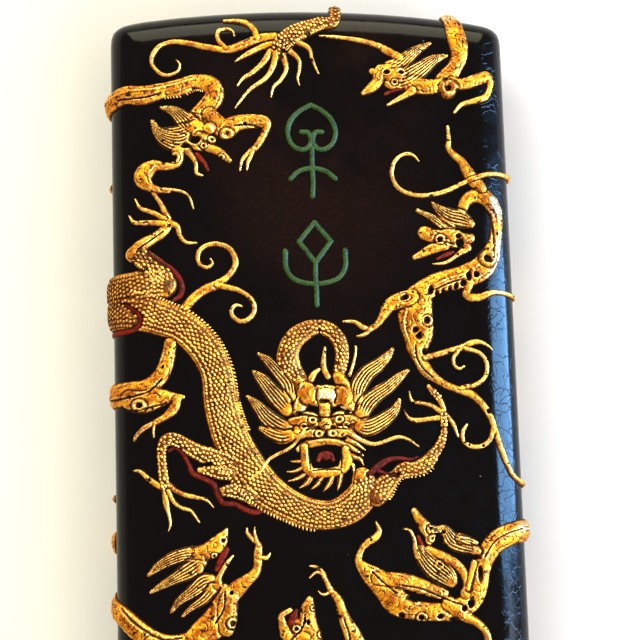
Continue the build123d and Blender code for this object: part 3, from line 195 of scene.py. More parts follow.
YOUNG_DRAGONS: dict[str, list[Stroke]] = {
    "top_left": [
        [(-39.6, 59.8, 2.1), (-35, 60.9, 1.8), (-32, 60.6, 1.9), (-28, 61.6, 1.5), (-25, 62.2, 1.7),
         (-22, 63.2, 1.5), (-19.3, 62.6, 1.8), (-18.6, 60.6, 1.9), (-20, 58.4, 1.8), (-22, 56, 2)],
        [(-28.6, 58.3, 0.35), (-26, 57.4, 1.2), (-24, 55.4, 1.9), (-22.6, 53.8, 2)],
        [(-30.2, 55.6, 0.5), (-29, 53.4, 1.2), (-27, 52.4, 2.2), (-24.8, 52.4, 2.6), (-22.6, 53.6, 1.8)],
        [(-22.4, 54.6, 1.6), (-21, 54.4, 1.5), (-19.8, 54, 1.2)],
        [(-21.4, 52.4, 1.1), (-20.2, 52.2, 1), (-19.2, 52, 0.8)],
        [(-22, 51, 1), (-20, 50.6, 0.9), (-18.2, 49.9, 0.9), (-17, 48.9, 0.8), (-16, 48.1, 0.5)],
        [(-24.6, 50.6, 0.9), (-23.2, 49.2, 0.6), (-22.3, 47.6, 0.45), (-22.2, 45.8, 0.4), (-21.2, 45.3, 0.3)],
        [(-19.4, 56.6, 1.6), (-17, 54.2, 2), (-14.6, 55.2, 1.6), (-12, 55.6, 1.4), (-9.4, 55.4, 1.3),
         (-9, 54.2, 0.8), (-9.6, 52.8, 0.7), (-10.7, 51, 0.7), (-12.2, 49.6, 0.6), (-13.6, 48.2, 0.4),
         (-14.1, 46.2, 0.2)],
        [(-11.4, 50.4, 0.5), (-12, 49, 0.45), (-12.6, 47.6, 0.4), (-12.8, 46.2, 0.2)],
        [(-25.6, 49.8, 1.2), (-25.2, 48.3, 0.7), (-26, 47.3, 0.7), (-28, 47, 0.8), (-30, 47.2, 1.1),
         (-31.6, 46, 1.6), (-32.1, 44.6, 1.6), (-31, 43.2, 1), (-29.4, 42.6, 0.7), (-27.4, 42.4, 0.5)],
        [(-28.4, 42.7, 0.45), (-26.8, 42.6, 0.35), (-24.9, 42.2, 0.35), (-23.6, 41.2, 0.3), (-22.9, 39, 0.2)],
    ],
    "top_right": [
        [(27.4, 81.5, 1.8), (27.9, 74, 1.9), (28.1, 72, 2), (28.5, 70, 1.8), (28.3, 67.8, 1.6),
         (27, 65.4, 1.6), (25.6, 63.2, 2.2), (25.8, 61.6, 1.8)],
        [(22.8, 70.8, 0.4), (20.4, 69.6, 1), (17.6, 67.4, 1.6), (15.2, 65.6, 2)],
        [(26, 68.4, 0.4), (23.2, 67.4, 1.2), (20.4, 65.4, 1.8), (17.8, 63.8, 2.2), (15.4, 63.6, 2)],
        [(24.6, 62.4, 1.4), (21.6, 62.3, 1.6), (18.8, 62.6, 1.7)],
        [(16.2, 64.6, 1.8), (13.2, 65.2, 1.5), (12.6, 63.6, 1.1), (11.4, 62.2, 1), (9.6, 61, 0.5)],
        [(19, 61.4, 0.8), (16.6, 60, 0.55), (14.2, 58.7, 0.3)],
        [(26.6, 62.8, 1.3), (29, 62.8, 1.2), (31.6, 63.6, 1.2), (33.6, 64.3, 1.1), (34.2, 62.8, 0.7),
         (33.3, 60.4, 0.7), (31, 59.5, 0.6), (28.6, 58.8, 0.5), (27, 57.2, 0.3)],
        [(14, 69.8, 0.7), (11, 71, 0.6), (8, 71.6, 0.5), (5, 72, 0.4), (1.6, 72.3, 0.2)],
        [(16.8, 68, 0.9), (14, 69.6, 0.8)],
    ],
    "right": [
        [(27.6, 38.2, 1), (28.5, 40, 1.2), (30.4, 41, 1.4), (32.5, 40.4, 1.6), (33.8, 38.6, 1.5),
         (34.2, 36.3, 1.3), (34, 34, 1.2), (33.5, 31.6, 1.4), (32.4, 29, 2), (30.4, 26.8, 2.3),
         (27, 25.4, 2.2), (22.8, 24.5, 2), (19.4, 22.6, 2.2), (18, 20, 3.2), (18, 17.2, 3.3),
         (18.3, 14.8, 2.8), (18, 12.3, 2), (18.4, 10.2, 1.3), (19.4, 8.2, 1.3), (21, 6.6, 0.9),
         (23.2, 5.2, 0.75), (25.6, 4.2, 0.7), (27.8, 3.4, 0.8), (29.4, 2, 0.7), (30.7, 0.2, 0.65),
         (31.6, -1.8, 0.6), (32.3, -4.4, 0.6), (33.2, -7.5, 0.55), (34.2, -10, 0.5), (35.6, -12.2, 0.5),
         (39.6, -14.5, 0.6)],
        [(19.2, 38.2, 0.5), (21.2, 37.2, 0.7), (23.4, 35.8, 1.2), (25, 34.6, 1.4)],
        [(22, 39.7, 0.35), (23.4, 38.2, 1.1), (25.4, 37, 1.7), (27.6, 36.4, 1.7), (29.2, 35.6, 0.9)],
        [(20.3, 33.9, 1.4), (22.4, 33.2, 1.5), (25, 33, 1.8), (27.4, 32.6, 1.6), (28.8, 32.8, 1.1)],
        [(24, 31.6, 1.1), (21.6, 31, 1.1), (19.8, 30, 0.8), (18.2, 29.3, 0.5)],
        [(28.4, 31, 0.8), (26.6, 29.8, 0.5), (25.2, 28.8, 0.4), (23.6, 28.1, 0.35), (21.6, 28, 0.2)],
        [(17.2, 21.8, 1.4), (15.2, 21.2, 1.6), (13.2, 20.3, 1.3), (12, 18.6, 0.9), (10.8, 16.9, 0.65),
         (9.2, 15.9, 0.6), (7.8, 16.4, 0.55), (6.4, 17.3, 0.45), (4.4, 17.4, 0.3)],
        [(9.4, 15.8, 0.5), (8.2, 14.9, 0.4), (6.8, 14.6, 0.2)],
        [(28.6, 24.2, 0.7), (27.8, 22, 0.8), (30, 21.5, 0.8), (32, 22.2, 0.6), (34.2, 22.5, 0.5),
         (39.5, 21.6, 0.35)],
        [(19.4, 10.4, 0.6), (22, 11, 0.6), (24.6, 11.7, 0.6), (26.8, 12.2, 0.7), (28.4, 13, 0.6),
         (30, 13.1, 0.45), (31.4, 12.4, 0.3), (32.2, 11.6, 0.15)],
        [(27, 11.9, 0.5), (28.8, 11.5, 0.45), (30.2, 10.7, 0.45), (31, 9.2, 0.45), (31, 7.6, 0.45),
         (30.3, 6.2, 0.45), (28.9, 5.2, 0.5), (27, 4.8, 0.5), (25.6, 4.6, 0.4)],
        [(25.6, 11.4, 0.5), (24.8, 10.2, 0.4), (24.9, 8.9, 0.4), (25.8, 8.2, 0.35), (26.7, 8.6, 0.25)],
        [(31.7, -3, 0.5), (31.2, -4.8, 0.5), (30, -6, 0.5), (28.6, -6.4, 0.5), (27, -6.1, 0.5),
         (25.9, -5, 0.45), (26, -3.4, 0.45), (26.8, -2.2, 0.25)],
        [(25.6, 54.4, 0.4), (25.7, 52, 0.5), (25.6, 50.2, 0.6), (26.6, 48.9, 0.7), (28, 47.6, 0.9),
         (28.9, 45.9, 1.1), (30.2, 43.9, 1.4), (31.6, 42.4, 1)],
        [(39.5, 45.3, 0.6), (34, 45.3, 0.5), (31.2, 44.7, 0.55), (28, 43.4, 0.5), (25.2, 42.1, 0.5),
         (22.8, 41.4, 0.5), (20, 41.1, 0.5), (18, 41.4, 0.5), (16, 42.3, 0.5), (14.9, 43.7, 0.45),
         (14.5, 45.4, 0.45), (14.9, 47.3, 0.45), (16.1, 48.7, 0.4), (17.6, 49.2, 0.4), (18.9, 48.8, 0.3),
         (19.7, 47.8, 0.2)],
    ],
    "left": [
        [(-27.6, 13.9, 1.2), (-27.9, 12, 1.3), (-28.5, 9.8, 1.4), (-29.6, 7.8, 1.5), (-32, 5.8, 1.7),
         (-35, 5, 2.2), (-39.5, 4.8, 2.3)],
        [(-34.8, 3.6, 1.9), (-32.6, 3.2, 2), (-30, 4, 1.8), (-28, 4, 1.2), (-25.4, 4.1, 0.4)],
        [(-26.6, 3.6, 0.9), (-27.2, 2, 1), (-28.6, 0.7, 0.7), (-30.5, -0.4, 0.6), (-32.5, -1.4, 0.5),
         (-33.8, -2.6, 0.4), (-34.3, -3.6, 0.25)],
        [(-30.6, -0.5, 0.35), (-30.9, -2, 0.3), (-30.8, -3.1, 0.2)],
    ],
    "lower_left": [
        [(-39.6, -32.4, 2), (-36.8, -34.8, 1.9), (-34, -37.4, 1.9), (-31, -39.3, 1.8), (-28, -40, 1.8),
         (-25, -39.5, 1.9), (-22.4, -37.8, 2.4), (-19.8, -35.8, 2.8), (-18.6, -33, 2.3), (-18.8, -31, 1.5)],
        [(-18.4, -37.6, 1.4), (-18.2, -35, 1.8), (-18, -32.6, 1.6), (-16.6, -30.8, 1.6), (-14.8, -29.3, 1.2),
         (-13.2, -28, 0.9), (-12.6, -26.4, 0.8), (-12.5, -24.4, 0.8), (-12.4, -22.8, 0.6),
         (-13.4, -21.8, 0.5), (-14.3, -20.8, 0.4), (-14.4, -19.9, 0.2)],
        [(-12.5, -22.8, 0.5), (-13, -21, 0.35), (-13, -19.7, 0.15)],
        [(-12.4, -25, 0.5), (-11, -25.3, 0.4), (-10.3, -24.5, 0.2)],
        [(-32.1, -27.6, 0.4), (-30.4, -26.2, 0.9), (-28, -24.9, 1.2), (-25.6, -24.3, 1.4), (-23, -24.4, 1.8)],
        [(-31.7, -30.6, 0.4), (-29.6, -29.4, 0.8), (-27.2, -28.2, 1.2), (-24.6, -26.8, 1.8),
         (-22.8, -25.6, 1.2)],
        [(-28.2, -34.2, 0.4), (-26.8, -32.4, 0.8), (-24.6, -30.9, 1.2), (-22.4, -29.4, 1.7),
         (-21, -29, 1.2)],
        [(-26.2, -35, 0.35), (-24.6, -33.6, 0.7), (-22.4, -32.2, 1), (-20.8, -30.4, 1.1)],
        [(-23.4, -24, 1.1), (-21.4, -23.7, 1.6), (-19.8, -22.6, 1.6), (-18.8, -21.3, 1), (-18, -19.9, 0.25)],
        [(-19.8, -29.8, 0.9), (-19.6, -28.4, 0.55), (-18.7, -26.8, 0.5), (-17.9, -25.7, 0.4),
         (-17, -24.7, 0.2)],
        [(-31.5, -39.6, 1.5), (-32.6, -43, 1.3), (-31, -46, 1), (-27.8, -47.6, 0.8), (-24.6, -47.2, 0.5),
         (-22.6, -45.6, 0.2)],
        [(-28.6, -47.4, 0.6), (-26.6, -49.6, 0.45), (-24.2, -50.6, 0.2)],
        [(-30, -46.6, 0.6), (-30.6, -49.4, 0.45), (-29.4, -51.6, 0.2)],
    ],
    "lower_centre": [
        [(-3.4, -33, 0.7), (-3.8, -34.6, 1.3), (-4, -37, 1.8), (-5, -40, 3.6), (-4.4, -44, 3.6),
         (-1, -47.6, 3.2), (4, -49.2, 2.9), (8.6, -51.2, 2.6), (10.2, -55, 2.3), (7.4, -58.6, 2.1),
         (2, -60, 1.9), (-4, -59.6, 1.8), (-9.6, -60.4, 1.7), (-13.6, -63.6, 1.5), (-13.6, -68, 1.2),
         (-10, -70.6, 0.9), (-6, -69.4, 0.7), (-5, -66.4, 0.4)],
        [(-7.8, -39, 1.2), (-8.4, -37, 0.8), (-8.5, -35.6, 0.6), (-7, -34.7, 0.5)],
        [(5, -46.4, 2), (5.2, -43, 1.9), (4.2, -39.6, 1.6), (3, -37, 1.2), (2.3, -35, 0.9),
         (1.8, -33.2, 0.8), (0.6, -31.6, 0.6), (-0.2, -30, 0.5), (-0.9, -28.3, 0.45), (-1.9, -27.3, 0.4),
         (-3.2, -27, 0.2)],
        [(-0.4, -29.6, 0.4), (-1.2, -28.4, 0.35), (-2.2, -28.2, 0.3), (-3.3, -29.1, 0.2)],
        [(0.6, -31.6, 0.4), (-0.4, -32.1, 0.3), (-1.2, -32.1, 0.25), (-1.8, -31.5, 0.15)],
        [(-18, -47.4, 0.5), (-15, -45.4, 1), (-11.6, -43.8, 1.3), (-7.8, -42.6, 1.4)],
        [(-17, -52, 0.5), (-13.6, -49.6, 1), (-10, -47.6, 1.3), (-6.4, -46, 1.4)],
    ],
    "lower_right": [
        [(39.6, -21.9, 2.1), (36, -22.2, 2.1), (33.5, -22.7, 2.1), (31, -24.1, 2), (29.3, -26.3, 1.8),
         (28.4, -29, 1.5), (27.6, -32, 1.7), (26, -34.4, 1.9), (23.2, -35.8, 1.9), (20, -36, 1.7),
         (16, -35.6, 1.8), (12.4, -34, 2.4), (10.8, -31.6, 2.5), (8.6, -29.6, 2), (6.8, -28, 1.3),
         (5.7, -26.4, 0.7), (6.3, -24.4, 0.6), (7.6, -23.1, 0.7), (9.1, -22.2, 0.7), (9.7, -21, 0.5),
         (9.1, -19.5, 0.2)],
        [(9, -29.6, 1.2), (12, -29.9, 1.3), (15, -30.6, 1.5), (18, -31.8, 1.4), (21, -32.8, 1.1)],
        [(22, -34.6, 1.4), (24.6, -36.8, 1.1), (27, -38.2, 0.8), (28.6, -40, 0.7), (29.4, -43, 0.7),
         (31.4, -46, 0.7), (35, -47.4, 0.65), (39.5, -47, 0.6)],
        [(16.3, -17.8, 0.7), (17.1, -19.2, 0.9), (18.2, -20.8, 1.2), (19, -22.2, 1.1), (18.8, -23.4, 0.7)],
        [(19.2, -21.2, 0.9), (20.6, -21.2, 0.7), (21.8, -21.4, 1), (22.9, -23.2, 1.6), (24.6, -24, 1.7),
         (26.2, -24.6, 1.4), (27.6, -25.4, 0.9)],
        [(24.6, -23, 1), (26.2, -23.4, 0.8), (27.6, -23.9, 0.4)],
        [(17.2, -25, 1.2), (18.4, -26.6, 2), (20, -28.2, 2.4), (21.8, -29.6, 2), (22.6, -30.6, 1.2)],
        [(18.6, -24.8, 0.8), (21, -26, 0.9), (23.4, -27.4, 0.9), (24.8, -29, 0.9), (25.4, -31, 0.7),
         (25, -33, 0.9)],
        [(16.6, -26, 0.6), (16.2, -24.6, 0.5), (16.1, -23, 0.4), (15.4, -21.3, 0.3), (14.1, -20.9, 0.2)],
        [(27, -27.4, 0.6), (26.3, -29.6, 0.6), (25.6, -32, 0.6)],
    ],
    "bottom": [
        [(39.6, -57.6, 2), (35, -57.2, 2.1), (30.6, -58.6, 2.2), (27.6, -62, 2.2), (27.2, -66.4, 2),
         (29.6, -70, 1.8), (33.4, -71, 1.5), (36, -68.6, 1.1), (35.4, -65.8, 0.8), (33.2, -65.2, 0.5)],
        [(28, -60.6, 1.8), (24.6, -61.4, 2.4), (21, -63.4, 2.6), (18.4, -65, 2), (15.4, -65.6, 1.2),
         (12.6, -66, 0.5)],
        [(19, -66.6, 1.1), (17, -68.2, 0.7), (14.8, -69, 0.3)],
        [(14.6, -58.4, 0.4), (17, -59, 1), (20, -60.6, 1.5), (22.4, -62, 1.5)],
        [(17.8, -55.2, 0.4), (20.4, -56.6, 1), (23, -58.8, 1.5), (24.6, -60.8, 1.5)],
        [(27, -66.6, 1.3), (23.4, -69.8, 1.1), (20.4, -72.6, 0.8), (17.2, -73.4, 0.5), (14, -72.6, 0.2)],
        [(-39.6, -60, 1.9), (-34.6, -59, 1.8), (-30, -57, 1.6), (-25.4, -58, 1.5), (-22.4, -61.4, 1.4),
         (-23.4, -65.6, 1.2), (-27.4, -67.4, 0.9), (-31, -65.8, 0.7), (-31, -63, 0.4)],
        [(-25, -66.6, 0.9), (-24.4, -69.8, 0.8), (-26.6, -72.2, 0.6), (-29.4, -73, 0.25)],
        [(4, -81.5, 1.4), (4.6, -76, 1.4), (3, -72.8, 1.2), (-0.4, -71.8, 1), (-2.2, -74, 0.8),
         (-0.8, -75.6, 0.4)],
    ],
}
YOUNG_TONGUES: dict[str, list[Stroke]] = {
    "top_left": [[(-22, 49.3, 0.5), (-21.3, 48.4, 0.5), (-20.6, 47.6, 0.4), (-20.1, 46.4, 0.3)]],
    "top_right": [[(13.9, 60.9, 0.3), (15.4, 61.6, 0.45), (17, 62, 0.4)]],
    "right": [[(22.6, 29, 0.25), (24.2, 29.7, 0.5), (25.6, 30.2, 0.35)]],
    "lower_left": [[(-18.2, -23.6, 0.6), (-19, -25, 0.7), (-19.9, -27, 0.5)]],
    "lower_centre": [[(-5.8, -34.9, 0.4), (-6.4, -36, 0.8), (-7, -37.4, 0.6)]],
    "lower_right": [[(16.9, -22.4, 0.3), (17.2, -23.4, 0.5), (17.6, -24.2, 0.4)]],
    "bottom": [[(15.4, -67.2, 0.35), (17, -67, 0.5), (18.6, -66.4, 0.4)]],
}
GREAT_TONGUE: list[Stroke] = [
    [(-1, -8, 0.4), (-0.6, -7.2, 0.5), (0.4, -6.9, 0.6), (1.3, -7.2, 0.5), (1.7, -8, 0.4)],
]
UPPER_ORNAMENT: list[Stroke] = [
    [(-0.4, 58.8, 0.5), (-2.6, 57.6, 0.5), (-4.4, 55.6, 0.55), (-4.9, 53, 0.5), (-3.8, 50.8, 0.5),
     (-1.8, 50.2, 0.5), (-0.6, 51.6, 0.5), (-1, 53.4, 0.5), (-2.4, 53.6, 0.45)],
    [(-0.4, 58.8, 0.5), (1.8, 57.6, 0.5), (3.6, 55.6, 0.55), (4.1, 53, 0.5), (3, 50.8, 0.5),
     (1, 50.2, 0.5), (-0.2, 51.6, 0.5), (0.2, 53.4, 0.5), (1.6, 53.6, 0.45)],
    [(-0.4, 50.6, 0.5), (-0.5, 47, 0.5), (-0.4, 44, 0.5), (-0.6, 41.2, 0.5)],
    [(-4.6, 44.6, 0.5), (-3, 46, 0.5), (-0.5, 46.6, 0.5), (2, 46, 0.5), (3.8, 44.6, 0.5)],
]
LOWER_ORNAMENT: list[Stroke] = [
    [(-0.4, 36.2, 0.5), (-3.4, 32.6, 0.5)],
    [(-3.4, 32.6, 0.5), (-0.4, 28.6, 0.5)],
    [(-0.4, 28.6, 0.5), (2.6, 32.6, 0.5)],
    [(2.6, 32.6, 0.5), (-0.4, 36.2, 0.5)],
    [(-0.4, 29, 0.5), (-0.5, 26, 0.5), (-0.4, 23.4, 0.5), (-0.4, 20.6, 0.5)],
    [(-6, 30.8, 0.55), (-5.9, 27.6, 0.5), (-4.2, 25.4, 0.5), (-0.5, 24.6, 0.5), (3.4, 25.4, 0.5),
     (5.1, 27.6, 0.5), (5.2, 30.8, 0.55)],
]


class Hide(Enum):
    """How the surface of a figure is worked."""

    SMOOTH = "smooth"
    SCALED = "scaled"
    COMBED = "combed"
    CARVED = "carved"


class Mark(Enum):
    """Small features set into a figure, at (x, y) with two half sizes."""

    BALL = "ball"
    RING = "ring"
    PIT = "pit"
    HOLE = "hole"


class Side(Enum):
    """The two faces of the stick that carry relief."""

    FRONT = "front"
    BACK = "back"


Feature = tuple[Mark, float, float, float, float]


@dataclass(frozen=True)
class Figure:
    """One figure of the relief, and how it is carved.

    Args:
        strokes: its limbs, locks and folds, later ones lying over earlier ones.
        height: mm above the cake at its thickest.
        hide: how its surface is worked.
        slot: the material slot that it takes its finish from.
        marks: balls, rings, pits and holes.
        ridges: raised lines drawn on it.
        cuts: engraved lines drawn on it.
        lift: share of what lies under it that is added to its own height.
        combed: numbers of the strokes that are locks of hair.
    """

    strokes: list[Stroke]
    height: float
    hide: Hide
    slot: str = "gold_relief"
    marks: tuple[Feature, ...] = ()
    ridges: tuple[Stroke, ...] = ()
    cuts: tuple[Stroke, ...] = ()
    lift: float = 0.0
    combed: tuple[int, ...] = ()


@dataclass(frozen=True)
class Skin:
    """The outside of the cake, unrolled flat.

    Args:
        half_width: from the middle to the side, mm.
        half_length: from the middle to the crown of either arched end, mm.
        half_depth: from the middle to either face, mm.
        middle: height of the middle of the cake above what it lies on, mm.
        edge: radius of the roundover between a face and the sides, mm.
        arch_rise: swell of each end beyond its corners, mm.
        corner: how squarely the two roundovers meet at a corner.
    """

    half_width: float
    half_length: float
    half_depth: float
    middle: float
    edge: float = 6.5
    arch_rise: float = 3.2
    corner: float = 5.0

    @classmethod
    def of_frame(cls) -> Skin:
        """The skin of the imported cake."""
        low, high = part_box("ink_cake")
        size = (high - low) / MM
        return cls(size.x / 2, size.y / 2, size.z / 2, (low.z + high.z) / 2 / MM)

    @property
    def flat_half(self) -> float:
        """Half width of the flat part of a face."""
        return self.half_width - self.edge

    @property
    def bend(self) -> float:
        """Skin distance over the roundover between a face and a side."""
        return self.edge * math.pi / 2

    @property
    def girth(self) -> float:
        """Skin distance from the edge of the flat to the middle of a side."""
        return self.bend + self.half_depth - self.edge

    def end_of_flat(self, x: np.ndarray) -> np.ndarray:
        """How far along the stick the flat of a face reaches at each x."""
        radius = (self.half_width**2 + self.arch_rise**2) / (2 * self.arch_rise)
        inside = np.clip(np.abs(x), 0, self.half_width)
        return self.half_length - (radius - np.sqrt(radius**2 - inside**2)) - self.edge

    def _rolled(self, beyond: np.ndarray) -> np.ndarray:
        """Skin distance for a plan distance beyond the flat; outside the plan it runs down the side."""
        arc = self.edge * np.arcsin(np.clip(beyond / self.edge, 0, 1))
        return arc + 2 * np.clip(beyond - self.edge, 0, None)

    def unroll(self, line: np.ndarray) -> np.ndarray:
        """Carries a drawn line onto the skin.

        Args:
            line: rows of x, y, half width.

        Returns:
            rows of u, v, half width.
        """
        x, y, w = line.T
        end = self.end_of_flat(x)
        out_x, out_y = np.clip(np.abs(x) - self.flat_half, 0, None), np.clip(np.abs(y) - end, 0, None)
        u = np.sign(x) * (np.minimum(np.abs(x), self.flat_half) + self._rolled(out_x))
        v = np.sign(y) * (np.minimum(np.abs(y), end) + self._rolled(out_y))
        return np.stack([u, v, w], 1)

    def beyond(self, u: np.ndarray, v: np.ndarray) -> tuple[np.ndarray, np.ndarray, np.ndarray]:
        """Distance past the flat along each way, and both joined round the corner."""
        across = np.clip(np.abs(u) - self.flat_half, 0, None)
        along = np.clip(np.abs(v) - self.end_of_flat(u), 0, None)
        power = self.corner
        return across, along, (across**power + along**power) ** (1 / power)

    def place(self, u: np.ndarray, v: np.ndarray, h: np.ndarray, side: Side) -> np.ndarray:
        """Points above the skin.

        Args:
            u: across the skin, mm.
            v: along the skin, mm.
            h: height above the cake, mm.
            side: the face that the skin belongs to.

        Returns:
            rows of x, y, z in mm in the frame of the stick.
        """
        across, along, way = self.beyond(u, v)
        safe = np.maximum(way, 1e-9)
        turn = np.clip(way / self.edge, 0, math.pi / 2)
        down = np.clip(way - self.bend, 0, None)
        reach = self.edge * np.sin(turn)
        drop = self.edge * (1 - np.cos(turn)) + down
        x = np.clip(u, -self.flat_half, self.flat_half) + np.sign(u) * reach * across / safe
        end = self.end_of_flat(u)
        y = np.clip(v, -end, end) + np.sign(v) * reach * along / safe
        lean_x = across ** (self.corner - 1)
        lean_y = along ** (self.corner - 1)
        norm = np.maximum(np.hypot(lean_x, lean_y), 1e-9)
        flat = way < 1e-6
        n_x = np.where(flat, 0, np.sin(turn) * np.sign(u) * lean_x / norm)
        n_y = np.where(flat, 0, np.sin(turn) * np.sign(v) * lean_y / norm)
        points = np.stack([x + h * n_x, y + h * n_y, self.half_depth - drop + h * np.cos(turn)], -1)
        if side is Side.BACK:
            points = points * (-1, 1, -1)
        points[..., 2] += self.middle
        return points


def smooth_line(points: Stroke, step: float = 0.35) -> np.ndarray:
    """Catmull-Rom line through a stroke's points.

    Args:
        points: x, y, half width of each point.
        step: about how far apart the returned points are, mm.

    Returns:
        rows of x, y, half width.
    """
    p = np.array(points, float)
    p = np.vstack([2 * p[0] - p[1], p, 2 * p[-1] - p[-2]])
    out = []
    for a, b, c, d in zip(p, p[1:], p[2:], p[3:]):
        count = max(2, math.ceil(np.hypot(*(c - b)[:2]) / step))
        t = np.linspace(0, 1, count, endpoint=False)[:, None]
        out.append(0.5 * (2 * b + (c - a) * t + (2 * a - 5 * b + 4 * c - d) * t**2
                          + (3 * b - a - 3 * c + d) * t**3))
    line = np.vstack(out + [p[-2:-1]])
    line[:, 2] = np.maximum(line[:, 2], 0.08)
    return line


def blur(values: np.ndarray, cells: float) -> np.ndarray:
    """Gaussian blur of a grid, its spread given in cells."""
    reach = math.ceil(2.5 * cells)
    weights = np.exp(-0.5 * (np.arange(-reach, reach + 1) / cells) ** 2)
    weights /= weights.sum()
    for axis in (0, 1):
        padded = np.pad(values, [(reach, reach) if a == axis else (0, 0) for a in (0, 1)], mode="edge")
        size = values.shape[axis]
        values = sum(w * np.take(padded, range(i, i + size), axis=axis) for i, w in enumerate(weights))
    return values


def mottle(shape: tuple[int, int], cells: float, seed: int) -> np.ndarray:
    """Even noise with a spread of one and lumps of about so many cells."""
    noise = blur(np.random.default_rng(seed).normal(size=shape), cells)
    return noise / max(noise.std(), 1e-9)


@dataclass
class Trail:
    """A stroke as the grid points near it see it."""

    rows: slice
    cols: slice
    reach: np.ndarray  # distance over half width, 1 at the stroke's edge
    cross: np.ndarray  # the same with the side it lies on as sign
    along: np.ndarray  # mm from the start of the stroke
    half: np.ndarray  # half width of the stroke there

    def within(self, rows: slice, cols: slice) -> tuple[slice, slice]:
        """The trail's own rows and columns, counted inside a larger window."""
        return (slice(self.rows.start - rows.start, self.rows.stop - rows.start),
                slice(self.cols.start - cols.start, self.cols.stop - cols.start))


@dataclass
class Panel:
    """A grid of heights over one unrolled face.

    Args:
        skin: the skin it lies on.
        side: which face.
        pitch: mm between grid points.
    """

    skin: Skin
    side: Side
    pitch: float
    ground: np.ndarray = field(init=False)

    def __post_init__(self) -> None:
        """Lays out the grid."""
        far_u = self.skin.flat_half + self.skin.girth
        far_v = float(self.skin.end_of_flat(np.zeros(1))[0]) + self.skin.girth
        self.us = np.arange(-far_u - 0.5, far_u + 0.5, self.pitch)
        self.vs = np.arange(-far_v - 0.5, far_v + 0.5, self.pitch)
        self.u, self.v = np.meshgrid(self.us, self.vs)
        way = self.skin.beyond(self.u, self.v)[2]
        rest = np.clip((self.skin.girth - 0.15 - way) / 1.6, -0.2, 1)
        self.nose = np.sign(rest) * np.sqrt(np.abs(rest * (2 - rest)))
        self.ground = np.zeros_like(self.u)

    def window(self, line: np.ndarray, margin: float) -> tuple[slice, slice]:
        """Rows and columns of the grid within a margin of a line."""
        low, high = line[:, :2].min(0) - margin, line[:, :2].max(0) + margin
        cols = np.searchsorted(self.us, (low[0], high[0]))
        rows = np.searchsorted(self.vs, (low[1], high[1]))
        return slice(rows[0], max(rows[1], rows[0] + 1)), slice(cols[0], max(cols[1], cols[0] + 1))

    def nearest(self, u: np.ndarray, v: np.ndarray) -> tuple[np.ndarray, np.ndarray]:
        """Row and column of the grid point nearest to each point of the skin."""
        return (((v - self.vs[0]) / self.pitch).round().astype(int),
                ((u - self.us[0]) / self.pitch).round().astype(int))

    def trace(self, stroke: Stroke) -> Trail:
        """Where each grid point near a stroke stands to it."""
        line = self.skin.unroll(smooth_line(stroke))
        widest = line[:, 2].max()
        rows, cols = self.window(line, 1.45 * widest + 0.35)
        shape = self.u[rows, cols].shape
        trail = Trail(rows, cols, np.full(shape, 9.0), np.zeros(shape), np.zeros(shape), np.full(shape, 0.5))
        walked = 0.0
        for a, b in zip(line, line[1:]):
            step = b[:2] - a[:2]
            length = float(np.hypot(*step))
            if length < 1e-6:
                continue
            r, c = self.window(np.stack([a, b]), 1.45 * max(a[2], b[2]) + 0.3)
            r = slice(max(r.start - rows.start, 0), r.stop - rows.start)
            c = slice(max(c.start - cols.start, 0), c.stop - cols.start)
            du = self.u[rows, cols][r, c] - a[0]
            dv = self.v[rows, cols][r, c] - a[1]
            if du.size:
                share = np.clip((du * step[0] + dv * step[1]) / length**2, 0, 1)
                half = a[2] + share * (b[2] - a[2])
                off = np.hypot(du - share * step[0], dv - share * step[1]) / half
                near = off < trail.reach[r, c]
                left = np.where(step[0] * dv - step[1] * du > 0, 1, -1)
                trail.reach[r, c] = np.where(near, off, trail.reach[r, c])
                trail.cross[r, c] = np.where(near, off * left, trail.cross[r, c])
                trail.along[r, c] = np.where(near, walked + share * length, trail.along[r, c])
                trail.half[r, c] = np.where(near, half, trail.half[r, c])
            walked += length
        return trail


def crown(reach: np.ndarray) -> np.ndarray:
    """Section of a stroke: full at its middle, nought at its edge and below nought outside."""
    inside = np.clip(1 - np.clip(reach, 0, 1) ** 2.4, 0, 1) ** 0.55
    return np.where(reach < 1, inside, -1.3 * (reach - 1))


